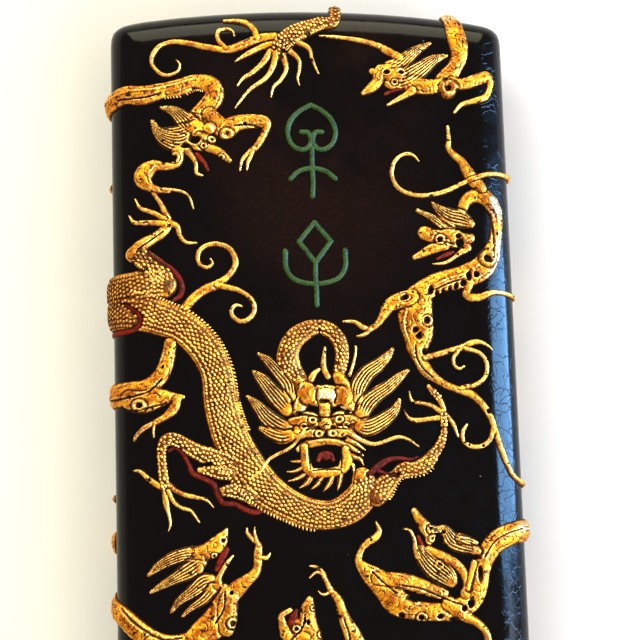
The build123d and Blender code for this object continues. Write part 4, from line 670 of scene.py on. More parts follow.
@dataclass
class Carving:
    """Works one figure into heights on a panel.

    Args:
        panel: the face it is carved on.
        figure: what is carved.
        seed: of the unevenness left by the knife.
    """

    panel: Panel
    figure: Figure
    seed: int

    TALLEST = 1.36  # mm that the relief stands at most
    LOCK_LINE = 0.3  # mm of half width for each combed line
    COMB_DEPTH = 0.4
    RIDGE_RISE = 0.24
    CUT_DEPTH = 0.42
    DITCH_WIDTH = 0.22  # mm, of the ditch that sets a stroke off from what it crosses
    HAIR_DITCH = 0.5  # share of the height that this ditch takes beside hair
    # the same share beside the other strokes, by how they are worked
    SEAM = {Hide.SMOOTH: 0.24, Hide.SCALED: 0.25, Hide.COMBED: 0.55, Hide.CARVED: 0.36}

    def heights(self) -> tuple[slice, slice, np.ndarray]:
        """Carves the figure.

        Returns:
            the rows and columns it lies in, and its heights there, below nought outside it.
        """
        panel, figure = self.panel, self.figure
        trails = [panel.trace(stroke) for stroke in figure.strokes]
        rows = slice(min(t.rows.start for t in trails), max(t.rows.stop for t in trails))
        cols = slice(min(t.cols.start for t in trails), max(t.cols.stop for t in trails))
        height = np.full(panel.u[rows, cols].shape, -1.0)
        seam = self.SEAM[figure.hide]
        for number, trail in enumerate(trails):
            hair = figure.hide is Hide.COMBED or number in figure.combed
            r, c = trail.within(rows, cols)
            under = height[r, c]
            top = figure.height * np.clip(0.32 + 0.6 * trail.half, 0.4, 1)
            own = top * crown(trail.reach)
            own = np.where(own > 0.1, own + self.worked(trail, hair, number), own)
            ditch = np.exp(-(((trail.reach - 1.06) * trail.half / self.DITCH_WIDTH) ** 2))
            under = np.where(under > 0, under * (1 - (self.HAIR_DITCH if hair else seam) * ditch), under)
            both = (np.clip(under, 0, None) ** 6 + np.clip(own, 0, None) ** 6) ** (1 / 6)
            height[r, c] = np.where((under > 0) | (own > 0), both, np.maximum(under, own))
        height = self.detailed(rows, cols, height)
        lifted = figure.lift * blur(panel.ground[rows, cols], 0.4 / panel.pitch)
        height = np.where(height > 0, height + lifted, height)
        nose = np.clip(panel.nose[rows, cols], -1, 1)
        return rows, cols, np.where(nose > 0, np.minimum(height, self.TALLEST) * nose, -0.2)

    def worked(self, trail: Trail, hair: bool, number: int) -> np.ndarray:
        """Unevenness of one stroke, mm, by how its figure's surface is worked."""
        shape, pitch, seed = trail.reach.shape, self.panel.pitch, self.seed + 3 * number
        grain = 0.022 * mottle(shape, 0.2 / pitch, seed)
        if hair:
            widest = trail.half[trail.reach < 1].max(initial=0.5)
            lines = max(2.0, round(widest / self.LOCK_LINE))
            sway = 0.35 * np.sin(trail.along * 1.1 + seed) + 0.3 * mottle(shape, 1.1 / pitch, seed + 2)
            comb = (0.5 - 0.5 * np.cos(math.pi * lines * (trail.cross + 1) + sway)) ** 0.8
            comb *= np.clip((trail.along.max() - trail.along) / 1.4, 0, 1) * (trail.reach < 0.95)
            return grain - self.COMB_DEPTH * comb * np.clip(trail.half / 0.7, 0.3, 1)
        lumps = 0.055 * mottle(shape, 0.7 / pitch, seed + 1)
        vein = np.exp(-((mottle(shape, 0.34 / pitch, seed + 2) / 0.24) ** 2))
        body = np.clip(trail.half - 0.25, 0, 1)
        if self.figure.hide is Hide.SCALED:
            border = np.exp(-(((trail.reach - 0.8) / 0.045) ** 2)) * (trail.half > 1.2)
            return grain - 0.22 * border
        if self.figure.hide is Hide.CARVED:
            return grain + 0.6 * lumps - 0.1 * vein * body
        wander = 0.1 * np.sin(0.9 * trail.along + seed)
        groove = np.exp(-(((np.abs(trail.cross) - 0.62 + wander) / 0.09) ** 2))
        groove *= 0.5 + 0.5 * np.sin(0.55 * trail.along + 2 * seed)
        fold = np.cos(trail.along * 4.2 + 1.6 * trail.cross + seed) * np.clip(np.abs(trail.cross) - 0.3, 0, 1)
        return grain + lumps + (0.04 * fold - 0.13 * vein - 0.16 * groove) * body

    def detailed(self, rows: slice, cols: slice, height: np.ndarray) -> np.ndarray:
        """Adds the drawn ridges and cuts, then the marks."""
        for lines, gain in ((self.figure.ridges, self.RIDGE_RISE), (self.figure.cuts, -self.CUT_DEPTH)):
            for stroke in lines:
                trail = self.panel.trace(stroke)
                r = slice(max(trail.rows.start - rows.start, 0), max(trail.rows.stop - rows.start, 0))
                c = slice(max(trail.cols.start - cols.start, 0), max(trail.cols.stop - cols.start, 0))
                part = height[r, c]
                top, side = rows.start + r.start - trail.rows.start, cols.start + c.start - trail.cols.start
                reach = trail.reach[top:top + part.shape[0], side:side + part.shape[1]]
                bump = gain * np.clip(1 - reach**2, 0, 1)
                height[r, c] = np.where(part > 0.05, np.maximum(part + bump, 0.06), part)
        u, v = self.panel.u[rows, cols], self.panel.v[rows, cols]
        ragged = mottle(height.shape, 0.45 / self.panel.pitch, self.seed + 5)
        for mark, x, y, rx, ry in self.figure.marks:
            centre = self.panel.skin.unroll(np.array([[x, y, 0.0]]))[0]
            off = np.hypot((u - centre[0]) / rx, (v - centre[1]) / ry)
            if mark is Mark.HOLE:
                off *= np.clip(1.3 + 0.25 * ragged, 0.9, 1.7)
                height = np.minimum(height, 1.6 * (off - 1) * min(rx, ry))
            elif mark is Mark.BALL:
                level = height[off < 1].mean() if (off < 1).any() else 0.6
                dome = 0.62 * level + 0.55 * min(rx, ry, 0.9) * np.sqrt(np.clip(1 - off**2, 0, 1))
                groove = height * (1 - 0.2 * np.exp(-(((off - 1.1) / 0.16) ** 2)))
                around = np.where(height > 0, groove, height)
                height = np.where(off < 1, np.maximum(height * 0.94, dome), around)
            elif mark is Mark.RING:
                rim = 0.26 * np.exp(-(((off - 0.72) / 0.2) ** 2)) - 0.4 * np.exp(-((off / 0.36) ** 2))
                rim -= 0.25 * np.exp(-(((off - 1.2) / 0.16) ** 2))
                height = np.where(height > 0, np.maximum(height + rim, 0.08), height)
            else:
                sunk = np.maximum(height * (1 - 0.9 * np.exp(-(off**4))), 0.04)
                height = np.where(height > 0, sunk, height)
        return height


# ---- what is carved into the figures ----------------------------------------------------------
BALL, RING, PIT, HOLE = Mark.BALL, Mark.RING, Mark.PIT, Mark.HOLE
MARKS: dict[str, tuple[Feature, ...]] = {
    "great_dragon_head": (
        (BALL, -2.9, 4.3, 1.8, 2), (BALL, 4.1, 3.3, 1.7, 2.1), (BALL, 0.7, 3.7, 1.8, 1.4),
        (BALL, 5.2, 1.4, 0.6, 0.6), (PIT, 0.4, 2.7, 0.9, 0.38), (PIT, -4.5, 0.6, 0.55, 0.4),
        (PIT, 4.4, 0.6, 0.55, 0.4), (PIT, 0, 6.4, 0.5, 0.7), (RING, -2, -0.7, 0.8, 0.7),
        (RING, 2.9, -0.7, 0.85, 0.75), (RING, -3.6, -1.9, 0.75, 0.65), (RING, 4.2, -1.7, 0.7, 0.6),
        (RING, -0.9, -3.3, 0.8, 0.75), (RING, 1.6, -3.3, 0.8, 0.75), (BALL, -4.9, -2.4, 0.7, 0.8),
        (BALL, 5.4, -2, 0.7, 0.9), (PIT, 0.3, -3.5, 0.4, 0.3), (BALL, 0.4, -1.9, 1, 0.7),
        (HOLE, 0.3, -7.2, 2, 2),
    ),
    "great_dragon_tongue": ((BALL, 0.4, -7.5, 0.9, 0.6),),
    "young_dragon_top_left": (
        (BALL, -19.6, 54.2, 1.15, 1.05), (RING, -19.2, 52, 0.8, 0.75), (RING, -20.8, 50.8, 0.7, 0.6),
        (HOLE, -22.5, 52, 0.9, 0.8), (RING, -17.6, 48.6, 0.7, 0.6), (RING, -16.4, 52.9, 1.3, 1.2),
        (RING, -26.3, 48.6, 0.95, 0.95), (HOLE, -26.3, 48.6, 0.4, 0.45), (HOLE, -28.2, 48.4, 0.35, 0.8),
        (HOLE, -24, 50.9, 0.8, 0.35), (PIT, -13, 55, 0.35, 0.3), (PIT, -22, 61.8, 0.8, 0.3),
        (PIT, -20.9, 61.2, 0.35, 0.3),
    ),
    "young_dragon_top_right": (
        (RING, 26, 61.9, 1.7, 1.5), (PIT, 26, 61.9, 0.5, 0.5), (PIT, 14.2, 65, 0.55, 0.4),
        (PIT, 17, 65, 0.55, 0.4), (BALL, 11.6, 65.3, 0.8, 0.7), (RING, 15.6, 63, 0.7, 0.6),
    ),
    "young_dragon_right": (
        (HOLE, 30.9, 37.1, 1.7, 1.7), (HOLE, 31.6, 33, 0.95, 1.25), (HOLE, 28.3, 34.3, 1.2, 0.45),
        (RING, 23.1, 32.6, 1, 0.9), (PIT, 23.1, 32.6, 0.5, 0.5), (PIT, 21, 33.5, 0.4, 0.35),
        (HOLE, 27, 31.9, 0.65, 0.7), (HOLE, 26.7, 33.3, 0.35, 0.35), (RING, 32.1, 28.9, 1.5, 1.5),
        (HOLE, 32.1, 28.9, 0.32, 0.32), (HOLE, 28.3, 25.7, 0.5, 0.6), (HOLE, 29.8, 25.8, 0.42, 0.42),
        (HOLE, 27.3, 24.3, 0.45, 0.6), (RING, 16.1, 21.7, 0.85, 0.7), (HOLE, 16.1, 21.7, 0.35, 0.3),
        (RING, 20.2, 17.3, 1, 1), (HOLE, 20.2, 17.3, 0.3, 0.35), (HOLE, 17.8, 15.6, 0.5, 0.4),
        (HOLE, 18.5, 14.6, 0.32, 0.42), (HOLE, 19.5, 11.3, 0.4, 0.4), (PIT, 21.8, 40.9, 0.4, 0.35),
        (BALL, 20.4, 33.9, 1.2, 1.2), (HOLE, 21, 23, 0.3, 0.5), (HOLE, 22.2, 22.1, 0.3, 0.5),
        (HOLE, 23.4, 22.6, 0.3, 0.5), (HOLE, 24.6, 23, 0.3, 0.5), (HOLE, 25.8, 23.5, 0.3, 0.5),
        (PIT, 27, -6, 0.25, 0.25), (PIT, 29.6, -6.2, 0.25, 0.25), (HOLE, 31.2, 0.2, 0.45, 0.3),
    ),
    "young_dragon_left": ((RING, -33.2, 2.7, 1.2, 1.1), (PIT, -33.2, 2.7, 0.45, 0.45)),
    "young_dragon_lower_left": (
        (HOLE, -21.2, -26.6, 0.9, 0.7), (BALL, -24.8, -23.7, 0.8, 0.7), (BALL, -23.1, -26.7, 0.8, 0.9),
        (PIT, -18.7, -21.9, 0.4, 0.35), (PIT, -17.4, -31.2, 0.35, 0.35), (RING, -17.3, -36.6, 1.1, 1),
        (PIT, -17.3, -36.6, 0.45, 0.45), (RING, -20.4, -24.6, 0.6, 0.55),
    ),
    "young_dragon_lower_centre": (
        (RING, -2.8, -34.4, 0.6, 0.55), (RING, -6, -38, 0.8, 0.7), (RING, -1.4, -39.2, 0.8, 0.7),
        (PIT, -3.8, -36.9, 0.3, 0.5), (BALL, -4.8, -39.6, 1.2, 1),
    ),
    "young_dragon_lower_right": (
        (RING, 19.4, -22.8, 0.8, 0.75), (HOLE, 20.7, -23.1, 0.8, 0.65), (HOLE, 21.8, -24.6, 0.5, 0.7),
        (PIT, 21.5, -21.7, 0.4, 0.4), (HOLE, 15.7, -33.3, 1.7, 0.6), (HOLE, 13.2, -36.4, 0.55, 0.5),
        (RING, 16.8, -37, 1, 0.95), (HOLE, 16.8, -37, 0.5, 0.5), (HOLE, 20.2, -36.9, 0.38, 0.32),
        (HOLE, 22.6, -37.6, 0.6, 0.32), (HOLE, 26, -34.9, 0.35, 0.4), (HOLE, 24.8, -35.5, 0.3, 0.3),
        (HOLE, 28, -29.3, 0.35, 0.8), (HOLE, 27.2, -26.5, 0.5, 0.35), (RING, 20.4, -27.6, 0.9, 0.9),
        (HOLE, 24.3, -31.3, 0.5, 1), (HOLE, 23.2, -32.8, 0.7, 0.4), (PIT, 19.2, -21, 0.3, 0.3),
    ),
    "young_dragon_bottom": (
        (RING, 24.6, -61.6, 0.8, 0.7), (RING, 21, -64.4, 0.7, 0.6), (PIT, 24.6, -61.6, 0.3, 0.3),
        (BALL, 22.6, -61, 1, 0.8), (RING, 33, -57.6, 1.2, 1.1),
    ),
    "over_top_leg": ((RING, -5, 70, 0.8, 0.8), (PIT, -5.4, 69.2, 0.45, 0.4)),
    "great_dragon_body": ((PIT, -0.1, 15.6, 0.3, 0.6),),
    "great_dragon_lower_hind_leg": ((HOLE, -22, -8.25, 1.2, 0.28),),
}
RIDGES: dict[str, tuple[Stroke, ...]] = {
    "great_dragon_head": (
        [(-5, 0.6, 0.35), (-3.6, 1.1, 0.4), (-2.4, 0.5, 0.35), (-1.2, 0.9, 0.4), (0, 0.4, 0.35),
         (1.2, 0.9, 0.4), (2.4, 0.5, 0.35), (3.6, 1, 0.4), (5, 0.5, 0.35)],
        [(-4.6, -1.5, 0.25), (-3, -2.2, 0.3), (-1, -1.8, 0.35), (0.4, -1.1, 0.35), (1.6, -1.7, 0.35),
         (3.2, -2.1, 0.3), (4.8, -1.5, 0.25)],
        [(-2.8, -4.9, 0.35), (-1.2, -4.5, 0.4), (0.5, -4.4, 0.45), (2.2, -4.6, 0.4), (3.6, -5.2, 0.35)],
        [(-0.9, 7, 0.3), (-0.8, 5.8, 0.35), (0, 5.3, 0.35), (0.9, 5.6, 0.3)],
        [(-3.8, 6.2, 0.3), (-4.4, 4.6, 0.3), (-4.9, 2.8, 0.3), (-5.2, 1.4, 0.25)],
        [(-1.4, -9.3, 0.35), (0.4, -8.9, 0.35), (2, -9.3, 0.35)],
    ),
    "young_dragon_lower_right": (
        [(37.6, -21.6, 0.35), (34.6, -21.9, 0.35), (32, -23, 0.35), (30, -24.8, 0.35), (29, -27, 0.3)],
    ),
    "young_dragon_top_left": (
        [(-38, 60.6, 0.3), (-34, 61.4, 0.3), (-30, 61.6, 0.3), (-26, 62.6, 0.3), (-22, 63.8, 0.3)],
        [(-29.8, 47, 0.3), (-31, 45.6, 0.35), (-30.6, 44, 0.3)],
    ),
    "young_dragon_right": (
        [(32.4, 30.6, 0.3), (33.6, 32.2, 0.3), (34, 34.6, 0.3), (34, 37, 0.3), (33, 39.4, 0.3)],
        [(20.8, 23.4, 0.3), (24, 25, 0.3), (27.6, 26, 0.35), (30.2, 27.6, 0.3)],
        [(16.2, 19.6, 0.3), (15.6, 16.8, 0.3), (16.4, 13.6, 0.3), (17.2, 10.8, 0.3)],
    ),
}
CUTS: dict[str, tuple[Stroke, ...]] = {
    "great_dragon_head": (
        [(-5.8, 0, 0.25), (-3.6, 0.3, 0.28), (-1.6, -0.1, 0.25), (0.5, -0.3, 0.22), (2.4, -0.1, 0.25),
         (4.4, 0.2, 0.28), (6.2, 0, 0.2)],
        [(-4.4, 5.2, 0.22), (-4.7, 3.8, 0.25), (-5.4, 2.6, 0.25), (-5.8, 1.2, 0.2)],
        [(-4.4, -2.9, 0.2), (-2.6, -2.3, 0.22), (-0.6, -2.2, 0.22), (0.5, -1.6, 0.2), (1.8, -2.2, 0.22),
         (3.4, -2.4, 0.22), (4.8, -2.6, 0.18)],
        [(-3.4, -4, 0.2), (-1.8, -4.1, 0.22), (0.5, -4, 0.2), (2.6, -4.1, 0.22), (4.2, -4.3, 0.18)],
        [(-2.7, -5.8, 0.18), (-2.75, -7.6, 0.2), (-2.6, -9.6, 0.18)],
        [(3.1, -5.9, 0.18), (3.2, -7.8, 0.2), (3, -9.6, 0.18)],
        [(-2.2, -9.9, 0.18), (0.4, -9.7, 0.2), (2.8, -9.9, 0.18)],
        [(-1, 5, 0.2), (-1.2, 3.6, 0.2), (-0.9, 2.2, 0.2)],
        [(2.4, 5, 0.2), (2.5, 3.6, 0.2), (2.2, 2.2, 0.2)],
    ),
    "great_dragon_body": (
        [(7.8, -11.4, 0.22), (8.4, -14, 0.25), (8.3, -16.2, 0.2)],
        [(-0.3, 17.6, 0.22), (-0.1, 15.8, 0.25), (0.6, 14, 0.2)],
    ),
    "young_dragon_top_left": (
        [(-36, 60, 0.2), (-32, 60, 0.22), (-28.6, 60.9, 0.2)],
        [(-22, 50.9, 0.2), (-20, 49.4, 0.22), (-18, 48.6, 0.2)],
        [(-15, 54.6, 0.2), (-12.4, 54.8, 0.22), (-10.4, 54.4, 0.2)],
        [(-29, 54.6, 0.2), (-26.4, 53.6, 0.22), (-24, 53, 0.22)],
    ),
    "young_dragon_right": (
        [(33, 29, 0.2), (33.2, 32, 0.22), (33.2, 35, 0.22), (33, 37.4, 0.2)],
        [(20.8, 22.6, 0.2), (24.4, 24.2, 0.22), (28, 25.2, 0.2)],
        [(17.6, 12.6, 0.2), (17.8, 10.4, 0.22), (18.8, 8.4, 0.2), (20.6, 6.6, 0.18)],
        [(26.2, 34.6, 0.2), (24, 34.6, 0.22), (21.6, 34.6, 0.2)],
        [(27.6, 30.9, 0.2), (24.6, 32, 0.22), (21.8, 32, 0.2), (19.6, 31, 0.18)],
    ),
    "young_dragon_lower_right": (
        [(35.8, -21.6, 0.2), (33, -22.4, 0.25), (30.6, -24, 0.25), (28.9, -26.4, 0.22)],
        [(13.4, -31, 0.2), (17, -31.8, 0.22), (21, -33.6, 0.22), (24.6, -35, 0.2)],
        [(8, -28.4, 0.18), (10, -30.4, 0.22), (12.4, -32.4, 0.2)],
        [(18.8, -20.6, 0.2), (19.2, -22, 0.2)],
    ),
    "young_dragon_lower_left": (
        [(-36.6, -33.4, 0.2), (-33.6, -36.6, 0.25), (-30, -38.8, 0.22), (-26.4, -38.8, 0.2)],
        [(-19, -24.8, 0.2), (-20.4, -25.4, 0.22), (-22, -25.2, 0.2)],
        [(-18.6, -31, 0.2), (-18.9, -34, 0.22), (-20.4, -36.4, 0.22)],
    ),
    "young_dragon_lower_centre": (
        [(-4.4, -35.6, 0.2), (-4.8, -37.6, 0.22), (-6.4, -39.4, 0.2)],
        [(2.6, -36.6, 0.2), (3.6, -40, 0.22), (3.6, -44, 0.2)],
        [(-7.4, -41.2, 0.22), (-4.8, -41.6, 0.25), (-2, -41, 0.22)],
    ),
    "young_dragon_left": (
        [(-38.6, 3.9, 0.25), (-35, 4.2, 0.25), (-31.6, 5.2, 0.22), (-29.2, 7.4, 0.2)],
        [(-36.4, 2.6, 0.22), (-34, 1.8, 0.22), (-31, 2.4, 0.2), (-28.6, 3, 0.2)],
    ),
    "great_dragon_upper_hind_leg": (
        [(-29.4, 27.4, 0.2), (-31.4, 29.2, 0.22), (-33.2, 31, 0.2)],
        [(-33, 31.4, 0.18), (-30.8, 33, 0.2), (-28.6, 34.6, 0.18)],
    ),
    "great_dragon_lower_hind_leg": (
        [(-24.4, -5.6, 0.2), (-26.6, -4.4, 0.2), (-28.6, -4.4, 0.18)],
    ),
}
HAIR_LOCKS: dict[str, tuple[int, ...]] = {
    "top_left": (1, 2), "top_right": (1, 2), "right": (1, 2), "lower_left": (4, 5, 6, 7),
    "lower_centre": (5, 6), "lower_right": (4, 5, 6), "bottom": (3, 4),
}
# Painted reflections: patches of the gilding made paler, as if lamps were seen in them; x, y and two half
# sizes, mm.
PAINTED_REFLECTION_SPOTS: tuple[tuple[float, float, float, float], ...] = (
    (0.8, 3.9, 1.7, 1.2), (-3.7, 1.1, 0.5, 0.5), (-16.2, -32.4, 0.5, 0.5), (-3.4, -1.8, 0.35, 0.35),
    (34.4, 30, 1.6, 3.4), (33.8, 24.6, 2, 2.4), (34, 39, 1.2, 3), (36.6, -21.4, 2, 0.8), (3.9, 1, 0.4, 0.5),
    (-19, 54.4, 0.6, 0.5), (5.4, 78, 3, 2), (28, 76.6, 3, 2.4),
)


def figures() -> dict[str, Figure]:
    """Every carved figure of a face, from the lowest to the topmost."""
    great = {f"great_dragon_{name}": strokes for name, strokes in GREAT_DRAGON.items()}
    table: dict[str, Figure] = {}

    def put(name: str, strokes: list[Stroke], height: float, hide: Hide, slot: str = "gold_relief",
            lift: float = 0.0, combed: tuple[int, ...] = ()) -> None:
        """Adds one figure with what is carved into it."""
        table[name] = Figure(strokes, height, hide, slot, MARKS.get(name, ()), RIDGES.get(name, ()),
                             CUTS.get(name, ()), lift, combed)

    put("young_dragon_left", YOUNG_DRAGONS["left"], 1.0, Hide.SMOOTH)
    put("great_dragon_tail", great["great_dragon_tail"], 1.0, Hide.SMOOTH)
    put("great_dragon_body", great["great_dragon_body"], 0.98, Hide.SCALED)
    for limb in ("upper_hind_leg", "lower_hind_leg", "foreleg"):
        put(f"great_dragon_{limb}", great[f"great_dragon_{limb}"], 1.05, Hide.SMOOTH, lift=0.12)
    for side in ("left", "right"):
        put(f"great_dragon_mane_{side}", great[f"great_dragon_mane_{side}"], 1.1, Hide.COMBED, "gold_hair")
    put("great_dragon_beard", great["great_dragon_beard"], 1.1, Hide.COMBED, "gold_hair", 0.25)
    put("great_dragon_horns", great["great_dragon_horns"], 1.1, Hide.CARVED, "gold_hair", 0.35)
    put("great_dragon_head", great["great_dragon_head"], 1.22, Hide.CARVED)
    put("great_dragon_tongue", GREAT_TONGUE, 0.7, Hide.CARVED, "red_pigment")
    put("great_dragon_flames", FLAMES, 0.62, Hide.CARVED, "red_pigment")
    put("over_top_tail", OVER_TOP_TAIL, 1.0, Hide.SMOOTH)
    put("over_top_leg", OVER_TOP_LEG, 1.08, Hide.SMOOTH, lift=0.15)
    for place, strokes in YOUNG_DRAGONS.items():
        if place != "left":
            put(f"young_dragon_{place}", strokes, 1.12, Hide.SMOOTH, combed=HAIR_LOCKS[place])
    for place, strokes in YOUNG_TONGUES.items():
        put(f"young_tongue_{place}", strokes, 0.75, Hide.CARVED, "red_pigment", 0.1)
    return table


# Fringes of small points along an edge: figure, stroke, the side it is on, where it starts and ends, mm.
FRINGES: tuple[tuple[str, int, int, float, float], ...] = (
    ("great_dragon_body", 0, 1, 11.0, 44.0), ("great_dragon_body", 0, -1, 46.0, 66.0),
    ("great_dragon_foreleg", 0, -1, 1.0, 12.0), ("young_dragon_top_left", 0, -1, 17.0, 25.0),
)

# Scaled figures: how many of their strokes carry scales, and the narrowest half width that does, mm.
SCALED: dict[str, tuple[int, float]] = {
    "great_dragon_body": (9, 0.8), "great_dragon_upper_hind_leg": (2, 0.75),
    "great_dragon_lower_hind_leg": (3, 0.75), "great_dragon_foreleg": (1, 0.6), "over_top_leg": (1, 0.75),
}


# ---- meshes -----------------------------------------------------------------------------------
def to_object(name: str, points_mm: np.ndarray, faces: Any, finish: bpy.types.Material) -> bpy.types.Object:
    """Makes a smooth mesh object at the origin.

    Args:
        name: of the object and its mesh.
        points_mm: rows of x, y, z.
        faces: vertex numbers of each face.
        finish: its material.

    Returns:
        the object, linked to the scene.
    """
    mesh = bpy.data.meshes.new(name)
    faces = faces.tolist() if isinstance(faces, np.ndarray) else faces
    mesh.from_pydata((points_mm * MM).tolist(), [], faces)
    mesh.polygons.foreach_set("use_smooth", np.ones(len(mesh.polygons), bool))
    mesh.materials.append(finish)
    mesh.update()
    piece = bpy.data.objects.new(name, mesh)
    bpy.context.scene.collection.objects.link(piece)
    return piece


def grid_quads(index: np.ndarray) -> np.ndarray:
    """The quads of a grid of vertex numbers."""
    return np.stack([index[:-1, :-1], index[:-1, 1:], index[1:, 1:], index[1:, :-1]], -1).reshape(-1, 4)


def tint(piece: bpy.types.Object, colours: np.ndarray) -> None:
    """Stores painted shade, rubbing with painted highlight, and painted reflection of each vertex as the
    colour attribute that the finishes read.
    """
    layer = piece.data.color_attributes.new(TONE, "FLOAT_COLOR", "POINT")
    rgba = np.concatenate([colours, np.ones((len(colours), 1))], 1).astype(np.float32)
    layer.data.foreach_set("color", rgba.ravel())


def adopt(piece: bpy.types.Object, slot: str, *nodes: str) -> bpy.types.Object:
    """Puts a finished piece on the stick in place of its CAD nodes."""
    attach(piece, ROOT)
    if nodes:
        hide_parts(*nodes)
    piece.data.calc_loop_triangles()
    LOG.info("%-34s %7d triangles  %s", piece.name, len(piece.data.loop_triangles), slot)
    return piece


def closed_shell(keep: np.ndarray) -> tuple[np.ndarray, np.ndarray, np.ndarray]:
    """Faces of a shell over the grid points to keep, with an underside and walls.

    Args:
        keep: grid of points that lie on the figure.

    Returns:
        row and column of each top vertex, and the quads; underside vertices follow the top ones.
    """
    cells = keep[:-1, :-1] | keep[1:, :-1] | keep[:-1, 1:] | keep[1:, 1:]
    cells[[0, -1]] = False
    cells[:, [0, -1]] = False
    for _ in range(4):  # two cells that meet only at a point get a third beside them
        a, b, c, d = cells[:-1, :-1], cells[:-1, 1:], cells[1:, :-1], cells[1:, 1:]
        b |= a & d & ~b & ~c
        a |= b & c & ~a & ~d
    used = np.zeros(keep.shape, bool)
    for r in (slice(None, -1), slice(1, None)):
        for c in (slice(None, -1), slice(1, None)):
            used[r, c] |= cells
    index = np.full(keep.shape, -1)
    index[used] = np.arange(used.sum())
    count = int(used.sum())
    sw, se, nw, ne = index[:-1, :-1], index[:-1, 1:], index[1:, :-1], index[1:, 1:]
    top = np.stack([sw[cells], se[cells], ne[cells], nw[cells]], 1)
    quads = [top, top[:, ::-1] + count]
    around = np.pad(cells, 1)
    for a, b, beside in ((sw, se, around[:-2, 1:-1]), (se, ne, around[1:-1, 2:]),
                         (ne, nw, around[2:, 1:-1]), (nw, sw, around[1:-1, :-2])):
        open_side = cells & ~beside
        first, second = a[open_side], b[open_side]
        quads.append(np.stack([second, first, first + count, second + count], 1))
    rows, cols = np.nonzero(used)
    return rows, cols, np.concatenate(quads)


